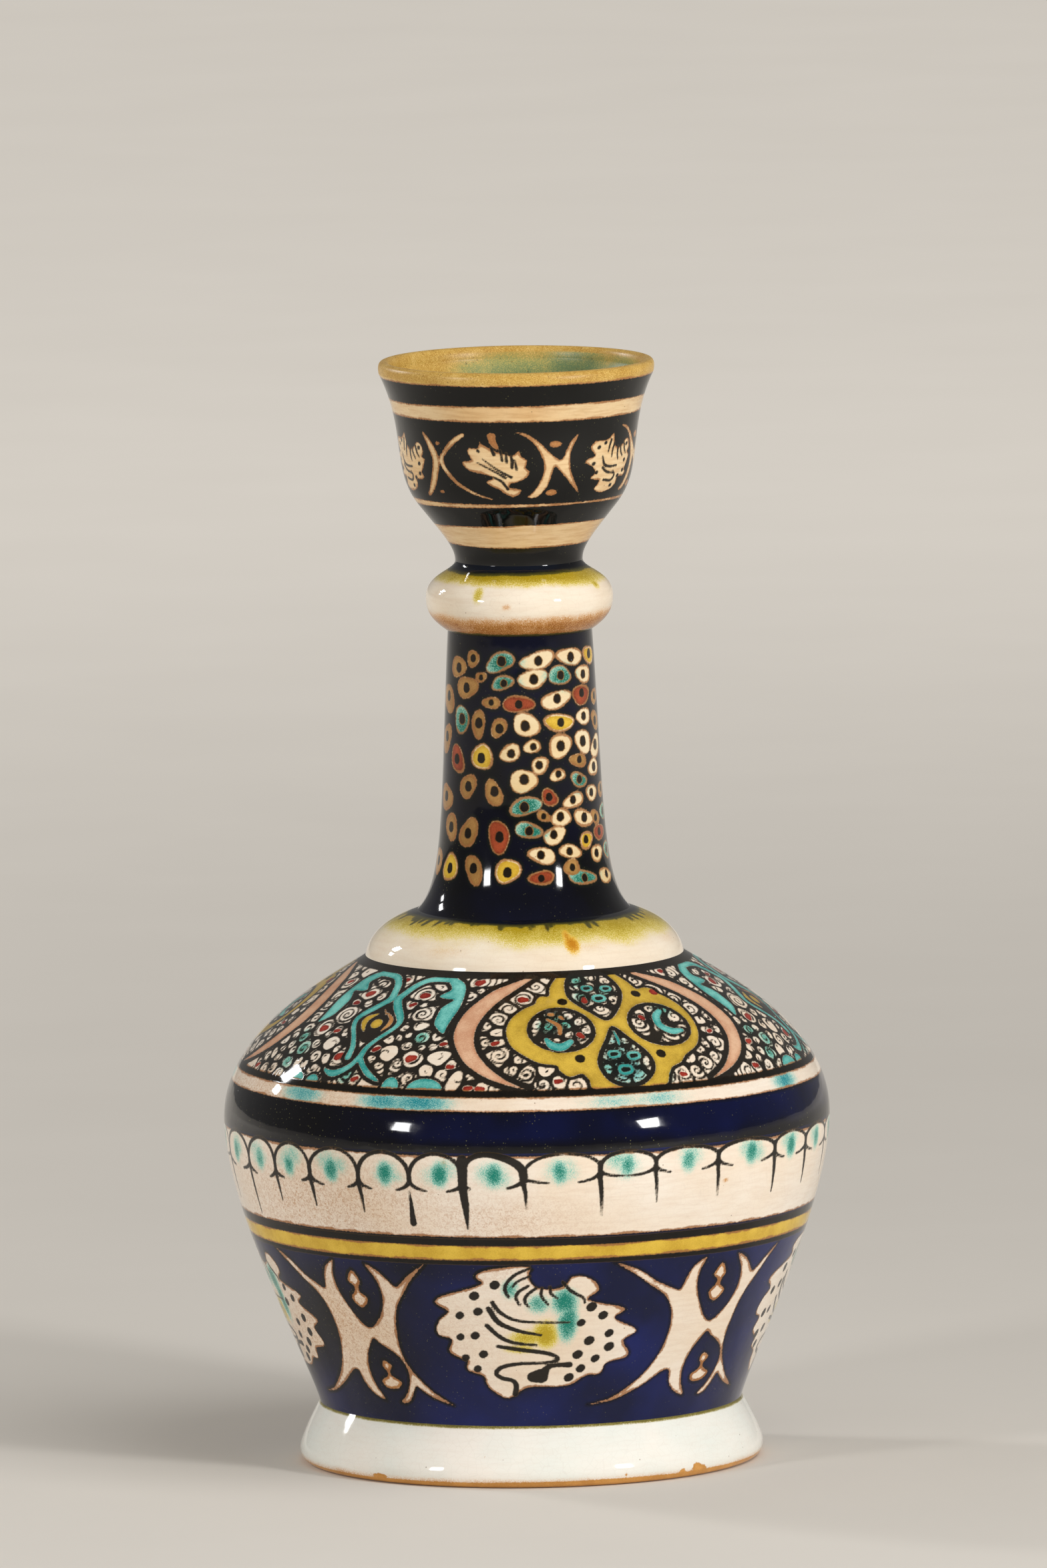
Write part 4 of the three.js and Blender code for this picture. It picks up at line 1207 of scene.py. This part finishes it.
# %% [markdown]
# ## Glazes
# All the colour lies under one clear glaze, fused to it in the kiln. Pigment shows thin and thick, edges
# fray where the glaze ran, and iron in the clay burns to brown beside the cobalt. The shader stacks the
# paints from the cream slip up, as the painter did, and frays each edge with noise of a real size.

# %% Node and colour helpers
MIX = {"data_type": "RGBA"}
SMOOTH_STEP = {"interpolation_type": "SMOOTHSTEP"}
TIMES, TIMES_PLUS = {"operation": "MULTIPLY"}, {"operation": "MULTIPLY_ADD"}
CLAMPED = {"use_clamp": True}


def linear(hex_colour):
    """An sRGB hex colour as linear red, green, blue and alpha."""
    parts = [int(hex_colour[i:i + 2], 16) / 255 for i in (1, 3, 5)]
    return [p / 12.92 if p <= 0.04045 else ((p + 0.055) / 1.055) ** 2.4 for p in parts] + [1.0]


def per_mm(size):
    """Noise scale, in object coordinates of metres, for features of this many millimetres."""
    return 1.0 / (size * MM)


def add(tree, kind, *inputs, out=None, **named):
    """One node. Its inputs come in order, or by name with a capital, as numbers, hex colours or other nodes'
    outputs. Names in small letters are its settings. Gives back one output, the first unless it is named."""
    made = tree.nodes.new("ShaderNode" + kind)
    for name, value in named.items():
        if name[0].islower():
            setattr(made, name, value)
    wanted = list(zip([s for s in made.inputs if s.enabled], inputs))
    wanted += [(made.inputs[name.replace("_", " ")], value)
               for name, value in named.items() if name[0].isupper()]
    for socket, value in wanted:
        if isinstance(value, bpy.types.NodeSocket):
            tree.links.new(value, socket)
        else:
            socket.default_value = linear(value) if isinstance(value, str) else value
    return made.outputs[out] if out else next((s for s in made.outputs if s.enabled), None)


def new_material(name):
    """An empty material and its node tree."""
    material = bpy.data.materials.new(name)
    material.use_nodes = True
    material.node_tree.nodes.clear()
    return material, material.node_tree


print("cream in linear light:", [round(part, 3) for part in linear("#F8ECDC")])

# %% What the glazes share
# Sizes of noise in mm, each with its detail and roughness
NOISES = {"fine": (0.7, 3.0, 0.6), "grain": (0.32, 2.0, 0.7),
          "patch": (6.0, 4.0, 0.55), "cloud": (28.0, 3.0, 0.5)}
# Each colour where it is thin and where it is thick, unless a glaze has its own
SHARED_LOOK = {
    "streaks": 0.15, "soft": 0.14, "fringe": "#08070C", "rim": "#A06A3C",
    "stain": ("#D8A060", "#9A5C24"), "glow": ("#E3CF5A", "#BCA024"), "ochre": ("#E0BC68", "#B4883A"),
    "wash": ("#93D0BF", "#14806E"), "rinse": ("#8CC6BC", "#22848C"), "tan": ("#D29C5C", "#A3693A"),
    "yellow": ("#E6C149", "#C69C2C"), "pink": ("#DFB694", "#BF8664"), "turquoise": ("#84D0C4", "#268C86"),
    "red": ("#B0402E", "#7A1C16"),
}


def sources(tree):
    """What the stages draw on: the place on the piece, its noises, its paints and their fraying in mm."""
    place = add(tree, "TexCoord", out="Object")
    have = {name: add(tree, "TexNoise", place, per_mm(size), *rest) for name, (size, *rest) in NOISES.items()}
    have["place"] = place
    have["fray"] = add(tree, "MapRange", have["fine"], 0.25, 0.75, -0.18, 0.18)
    have["load"] = add(tree, "Math", add(tree, "MapRange", have["patch"], 0.32, 0.66),
                       add(tree, "MapRange", have["grain"], 0.3, 0.7, -0.4, 0.4), operation="ADD", **CLAMPED)
    for layer in PAINTS + BLEEDS:
        have[layer] = add(tree, "Attribute", attribute_name=layer, out="Fac")
    return SimpleNamespace(**have)


# %% Slip and cracks
def cream_slip(tree, have, look):
    """Cream slip, put on by a wide brush while the bottle turned, with faint clouds and fine cracks."""
    clouds = add(tree, "MapRange", have.cloud, 0.35, 0.68)
    body = add(tree, "Mix", clouds, *look["cream"], **MIX)
    turning = add(tree, "Mapping", have.place, Scale=(0.12, 0.12, 1.0))
    streak = add(tree, "TexNoise", turning, per_mm(0.9), 3.0, 0.6)
    brushed = add(tree, "MapRange", streak, 0.42, 0.72, 0.0, look["streaks"])
    body = add(tree, "Mix", brushed, body, "#C08A52", **MIX)
    cracks = add(tree, "TexVoronoi", have.place, per_mm(2.2), feature="DISTANCE_TO_EDGE")
    cracks = add(tree, "MapRange", cracks, 0.0, 0.045, 0.06, 0.0)
    body = add(tree, "Mix", cracks, body, "#8A6A44", **MIX)
    motes = add(tree, "MapRange", add(tree, "TexVoronoi", have.place, per_mm(4.0)), 0.03, 0.055, 0.7, 0.0)
    body = add(tree, "Mix", motes, body, "#7A4F28", **MIX)
    # Crazed patches: a brown stain that worked in along worm-like cracks. On the left side the same browning
    # is painted shade
    crazing_and_shade_mask = add(tree, "TexNoise", have.place, per_mm(0.75), 2.0, 0.75, Distortion=1.2)
    crazing_and_shade_mask = add(tree, "MapRange", crazing_and_shade_mask, 0.46, 0.62, 0.12, 0.72)
    crazing_and_shade_mask = add(tree, "Math", crazing_and_shade_mask, have.speckle, **TIMES)
    return add(tree, "Mix", crazing_and_shade_mask, body, "#BC8656", **MIX), motes


# %% Colours that ran and colours that were brushed
def run_colours(tree, have, look, body):
    """Soft patches, granular where they are thick, and dark iron specks in the ochre."""
    blotch = add(tree, "MapRange", have.patch, 0.3, 0.7, 0.75, 1.2)
    dotted = add(tree, "MapRange", have.grain, 0.36, 0.64, -0.4, 0.4)
    for layer in ("stain", "glow", "ochre", "wash", "rinse"):
        amount = add(tree, "Math", getattr(have, layer), blotch, **TIMES)
        density = add(tree, "Math", dotted, amount, amount, **TIMES_PLUS)
        strength = add(tree, "MapRange", density, 0.08, 0.75, **SMOOTH_STEP)
        tone = add(tree, "Mix", add(tree, "MapRange", density, 0.45, 1.3), *look[layer], **MIX)
        body = add(tree, "Mix", strength, body, tone, **MIX)
    spots = add(tree, "MapRange", have.fine, 0.64, 0.7, 0.0, 0.7)
    iron = add(tree, "Math", have.ochre, spots, **TIMES, **CLAMPED)
    return add(tree, "Mix", iron, body, "#5E421C", **MIX)


def brushed_paints(tree, have, look, body):
    """Thin to thick by the painter's load. Paint runs to its own edges and stands thickest there."""
    for layer in ("tan", "yellow", "pink", "turquoise", "red"):
        edge = add(tree, "Math", getattr(have, layer), have.fray, operation="ADD")
        inside = add(tree, "MapRange", edge, -0.16, 0.16, 1.0, 0.0, **SMOOTH_STEP)
        heaped = add(tree, "MapRange", edge, -1.1, -0.2, 0.0, 0.45)
        heaped = add(tree, "Math", have.load, 0.75, heaped, **TIMES_PLUS, **CLAMPED)
        body = add(tree, "Mix", inside, body, add(tree, "Mix", heaped, *look[layer], **MIX), **MIX)
    return body


# %% Cobalt and black
def cobalt_ground(tree, have, look, body):
    """Cobalt with a brown rim where it meets the reserve. It pooled black along its edges. On the crazed left
    side it is blackened further as painted shade, and flecks of gold came up there."""
    shore = add(tree, "Math", have.ground, have.fray, operation="ADD")
    width = add(tree, "MapRange", have.patch, 0.35, 0.65, look["rim_width"] * 0.3, look["rim_width"] * 1.5)
    burnt = add(tree, "Math", shore, width, operation="SUBTRACT")
    burnt = add(tree, "MapRange", burnt, -0.25, 0.25, 0.9, 0.0, **SMOOTH_STEP)
    body = add(tree, "Mix", burnt, body, look["rim"], **MIX)
    covered = add(tree, "MapRange", shore, -look["soft"], look["soft"], 1.0, 0.0, **SMOOTH_STEP)
    cobalt = add(tree, "Mix", add(tree, "MapRange", have.cloud, 0.36, 0.64), *look["cobalt"], **MIX)
    # Black where the cobalt pooled at its edges, and painted shade where the crazing layer covers the left
    # side
    pooled_and_painted_shade = add(tree, "MapRange", shore, -1.1, -0.25, 0.0, 0.75)
    pooled_and_painted_shade = add(tree, "Math", have.speckle, 1.0, pooled_and_painted_shade, **TIMES_PLUS, **CLAMPED)
    cobalt = add(tree, "Mix", pooled_and_painted_shade, cobalt, look["fringe"], **MIX)
    flecks = add(tree, "MapRange", add(tree, "TexVoronoi", have.place, per_mm(1.2)), 0.08, 0.15, 0.6, 0.0)
    rare = add(tree, "MapRange", have.patch, 0.5, 0.62, 0.0, 0.7)
    rare = add(tree, "Math", have.speckle, 0.7, rare, **TIMES_PLUS, **CLAMPED)
    cobalt = add(tree, "Mix", add(tree, "Math", rare, flecks, **TIMES), cobalt, "#7C7A4C", **MIX)
    return add(tree, "Mix", covered, body, cobalt, **MIX)


def line_work(tree, have, body):
    """Black lines, thinner and browner at their edges."""
    line = add(tree, "Math", have.fray, 0.6, have.ink, **TIMES_PLUS)
    halo = add(tree, "MapRange", line, -0.05, 0.28, 0.6, 0.0, **SMOOTH_STEP)
    body = add(tree, "Mix", halo, body, "#54401F", **MIX)
    drawn = add(tree, "MapRange", line, -0.14, 0.1, 0.97, 0.0, **SMOOTH_STEP)
    black = add(tree, "Mix", have.load, "#17120C", "#080706", **MIX)
    return add(tree, "Mix", drawn, body, black, **MIX), drawn


# %% Glaze material
def glazed(name, **own):
    """Clear gloss glaze over painted slip. It gives deep wet colour with small sharp highlights."""
    material, tree = new_material(name)
    have, look = sources(tree), {**SHARED_LOOK, **own}
    body, motes = cream_slip(tree, have, look)
    body = brushed_paints(tree, have, look, run_colours(tree, have, look, body))
    body, drawn = line_work(tree, have, cobalt_ground(tree, have, look, body))
    # Thick glaze: slow ripples from throwing, pinholes, and paint that stands up a little
    ripple = add(tree, "TexNoise", have.place, per_mm(11.0), 2.0)
    relief = add(tree, "Math", motes, -0.8, ripple, **TIMES_PLUS)
    relief = add(tree, "Math", drawn, 0.1, relief, **TIMES_PLUS)
    bump = add(tree, "Bump", Strength=0.4, Distance=0.3 * MM, Height=relief)
    # The ochre is the driest glaze on the bottle
    gloss = add(tree, "MapRange", have.patch, 0.3, 0.7, 0.035, 0.09)
    gloss = add(tree, "Math", have.ochre, 0.3, gloss, **TIMES_PLUS)
    shader = add(tree, "BsdfPrincipled", Base_Color=body, Roughness=gloss, Normal=bump, IOR=1.5,
                 Specular_IOR_Level=0.3)
    add(tree, "OutputMaterial", Surface=shader)
    return material


# Bright blue on the bowl, darker and richer on the shoulder, nearly black on the neck and the cup
bowl_glaze = glazed("clear_glaze_on_cobalt", cream=("#F8ECDC", "#F3E0C8"), cobalt=("#141F5C", "#0D1438"),
                    rim_width=0.55)
shoulder_glaze = glazed("clear_glaze_on_deep_cobalt", cream=("#EFE3D3", "#E9D6BE"),
                        cobalt=("#060E3A", "#04061C"), rim_width=0.4, yellow=("#D2AE42", "#A4842A"))
neck_glaze = glazed("clear_glaze_on_dark_cobalt", cream=("#EDDAB4", "#E2C48E"), cobalt=("#080A20", "#040408"),
                    rim_width=0.5, streaks=0.1, fringe="#12160C", soft=0.24, tan=("#B6894E", "#8C6434"),
                    wash=("#8CC6B4", "#1A6E5C"), red=("#A84C2C", "#6C2A16"))
cup_glaze = glazed("clear_glaze_on_black", cream=("#EBCFA2", "#E0B880"), cobalt=("#0A0A08", "#060504"),
                   rim_width=0.42, streaks=0.5, fringe="#080A06", wash=("#A9A562", "#6C825A"))
# Warm white with a smoky edge under the runs, and a cooler, milkier white on the foot
white_glaze = glazed("warm_white_glaze", cream=("#F1E4D0", "#EAD8BE"), cobalt=("#0A1220", "#08080C"),
                     rim_width=0.5, streaks=0.12, fringe="#10140E", soft=1.3, rim="#5E5A26",
                     glow=("#DFCA62", "#AC921C"), ochre=("#E6B844", "#BE7C14"))
foot_glaze = glazed("milky_green_white_glaze", cream=("#F6EFE4", "#E8EAE1"), cobalt=("#0C0E20", "#08080C"),
                    rim_width=0.8, streaks=0.05, tan=("#E0A558", "#C48A45"), glow=("#A89A52", "#6B6330"))
glazes = (bowl_glaze, shoulder_glaze, neck_glaze, cup_glaze, white_glaze, foot_glaze)
print("glazes:", ", ".join(glaze.name for glaze in glazes))

# %% [markdown]
# ## Slip in the joints
# The slip that lutes two sections is the potter's own clay, thinned with water. It fires dry and
# granular, and is never glazed, because it sits inside the joint.

# %% Raw slip
def raw_slip():
    """Unglazed fired slip: dry, granular, buff."""
    material, tree = new_material("fired_clay_slip")
    grit = add(tree, "TexNoise", add(tree, "TexCoord", out="Object"), per_mm(0.4), 4.0, 0.7)
    tone = add(tree, "Mix", grit, "#D9B07A", "#B98A58", **MIX)
    bump = add(tree, "Bump", Strength=0.6, Distance=0.2 * MM, Height=grit)
    shader = add(tree, "BsdfPrincipled", Base_Color=tone, Roughness=0.85, Normal=bump)
    add(tree, "OutputMaterial", Surface=shader)
    return material


slip_clay = raw_slip()
for name in ("foot_slip", "belly_slip", "collar_slip", "neck_slip", "knop_slip", "cup_slip"):
    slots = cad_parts[name].data.materials
    slots.clear()
    slots.append(slip_clay)
print("slip in six joints")

# %% [markdown]
# ## Making the sections
# Each section closes over its wall. The foot stands on a flat ring, the bowl has a floor with a soft
# cove, and the knop is hollow, because it was thrown as a bulge and not added as a solid ring.

# %% Make the sections
COVE_HEIGHT, COVE_CORNER, COVE_WIDTH = 9, 4.5, 14
GLUE_LAND = 4
floor_top, groove = bowl_base + FLOOR, FOOT_TOP - FOOT_WALL
belly_bore, collar_bore, neck_bore = BELLY - BODY_WALL, COLLAR_ROOT - COLLAR_WALL, NECK_ROOT - NECK_ROOT_WALL
knop_bore, stem_bore = NECK_TOP - NECK_WALL, STEM - STEM_WALL
bowl_inside = moved_in(bowl_curve, BODY_WALL, 9, floor_top + COVE_HEIGHT, belly - TONGUE_HEIGHT)
cove_top = bowl_inside[-1]
cove = roll(cove_top, (cove_top[0] - COVE_CORNER, floor_top), (cove_top[0] - COVE_WIDTH, floor_top))
groove_side = groove - CLEARANCE

turned_section("foot", "foot_ring", foot_glaze, foot_canvas,
               tongue(bowl_base, groove) + [(FOOT_SEAT - FOOT_WALL, 0)])
turned_section("bowl", "lower_bowl", bowl_glaze, bowl_canvas,
               tongue(belly, belly_bore) + bowl_inside + [tuple(p) for p in cove[[15, 30, 45, 59]]]
               + [(0, floor_top), (0, bowl_base), (groove_side, bowl_base),
                  (groove_side, bowl_base + REBATE_DEPTH)] + rebate(bowl_base, groove)[1:])
turned_section("shoulder_dome", "shoulder", shoulder_glaze, shoulder_canvas,
               tongue(collar_base, collar_bore) + [(collar_bore, collar_base - TONGUE_HEIGHT)]
               + moved_in(shoulder_curve, BODY_WALL, 9, belly + GLUE_LAND, collar_base - TONGUE_HEIGHT)
               + rebate(belly, belly_bore))
turned_section("collar_moulding", "collar", white_glaze, collar_canvas,
               tongue(neck_base, neck_bore) + [(neck_bore, neck_base - TONGUE_HEIGHT)]
               + rebate(collar_base, collar_bore))
turned_section("long_neck", "neck", neck_glaze, neck_canvas,
               tongue(knop_base, knop_bore)
               + moved_in(neck_curve, NECK_WALL, 9, neck_base + REBATE_DEPTH, knop_base - TONGUE_HEIGHT)
               + rebate(neck_base, neck_bore))
turned_section("hollow_knop", "knop", white_glaze, knop_canvas,
               tongue(stem_base, stem_bore) + moved_in(knop_upper, NECK_WALL, 6, 0, stem_base - CLEARANCE)
               + moved_in(knop_lower, NECK_WALL, 6, knop_base + REBATE_DEPTH, stem_base)[1:]
               + rebate(knop_base, knop_bore))
turned_section("cup_and_stem", "mouth_cup", cup_glaze, cup_canvas,
               moved_in(stem_curve, STEM_WALL, 7, stem_base + REBATE_DEPTH, cup_base)
               + rebate(stem_base, stem_bore))

# %% [markdown]
# ## Floor and light
# A wide pale floor carries the shadow. Two soft boxes stand in front, left and right, and give the
# small bright marks on the glaze; a third, from the left and behind, lights the shoulder's edge, and a
# small low one beside it marks the foot. A wide one overhead fills the shadows and shows in no gloss.
# The world is an even pale grey, at a level where a colour renders about as it is written.

# %% Floor
FAR_PAPER, NEAR_BOTTLE, FAR_AWAY = 0.6, 0.3, 2.6
HALF_FLOOR = 40.0


def pale_floor():
    """Seamless studio paper: matt, pale and very slightly uneven."""
    material, tree = new_material("matt_studio_paper")
    place = add(tree, "TexCoord", out="Object")
    tone = add(tree, "Mix", add(tree, "TexNoise", place, per_mm(90.0), 3.0), "#DDD7CE", "#D8D2C9", **MIX)
    # Far from the bottle the paper is shown pale to the camera, to gloss and through glass; near it the
    # shadow stays
    away = add(tree, "VectorMath", place, operation="LENGTH")
    away = add(tree, "MapRange", away, NEAR_BOTTLE, FAR_AWAY, 0.0, FAR_PAPER, **SMOOTH_STEP)
    rays = add(tree, "LightPath").node.outputs
    seen = add(tree, "Math", rays["Is Camera Ray"], rays["Is Glossy Ray"], operation="MAXIMUM")
    seen = add(tree, "Math", seen, rays["Is Transmission Ray"], operation="MAXIMUM")
    shader = add(tree, "BsdfPrincipled", Base_Color=tone, Roughness=0.9, Specular_IOR_Level=0.2,
                 Emission_Color=tone, Emission_Strength=add(tree, "Math", away, seen, **TIMES))
    add(tree, "OutputMaterial", Surface=shader)
    mesh = bpy.data.meshes.new("floor")
    corners = [(x * HALF_FLOOR, y * HALF_FLOOR, 0) for x, y in ((-1, -1), (1, -1), (1, 1), (-1, 1))]
    mesh.from_pydata(corners, [], [(0, 1, 2, 3)])
    mesh.materials.append(material)
    floor = put_in_scene("floor", mesh)


pale_floor()
print("floor laid")

# %% Lights
LIT_POINT = Vector((0, 0, 0.17))


def soft_box(name, azimuth, elevation, distance, width, height, watts, seen_in_gloss=True):
    """An area lamp that looks at the middle of the bottle. Azimuth 0 is the camera's side."""
    turn, lift = math.radians(azimuth), math.radians(elevation)
    out = Vector((math.sin(turn) * math.cos(lift), -math.cos(turn) * math.cos(lift), math.sin(lift)))
    data = bpy.data.lights.new(name, "AREA")
    data.shape, data.size, data.size_y, data.energy = "RECTANGLE", width, height, watts
    lamp = put_in_scene(name, data)
    lamp.location = LIT_POINT + out * distance
    lamp.rotation_euler = out.to_track_quat("Z", "Y").to_euler()
    lamp.visible_glossy = seen_in_gloss


soft_box("front_left_box", -49, 14, 1.8, 0.24, 0.24, 9)
soft_box("front_right_box", 48, 15, 1.8, 0.24, 0.24, 15)
soft_box("back_left_box", -122, 25, 1.8, 0.18, 0.24, 6.5)
soft_box("low_left_box", -120, 16.5, 1.8, 0.13, 0.13, 1.6)
soft_box("overhead_box", 48, 52, 2.4, 1.6, 1.6, 26, seen_in_gloss=False)

world = bpy.data.worlds.new("even_studio")
bpy.context.scene.world = world
world.use_nodes = True
world.node_tree.nodes.clear()
sky = add(world.node_tree, "Background", Color="#F4F1EC", Strength=0.26)
add(world.node_tree, "OutputWorld", Surface=sky)

bpy.context.scene.view_settings.view_transform = "Standard"
print("lit by", len(bpy.data.lights), "soft boxes")
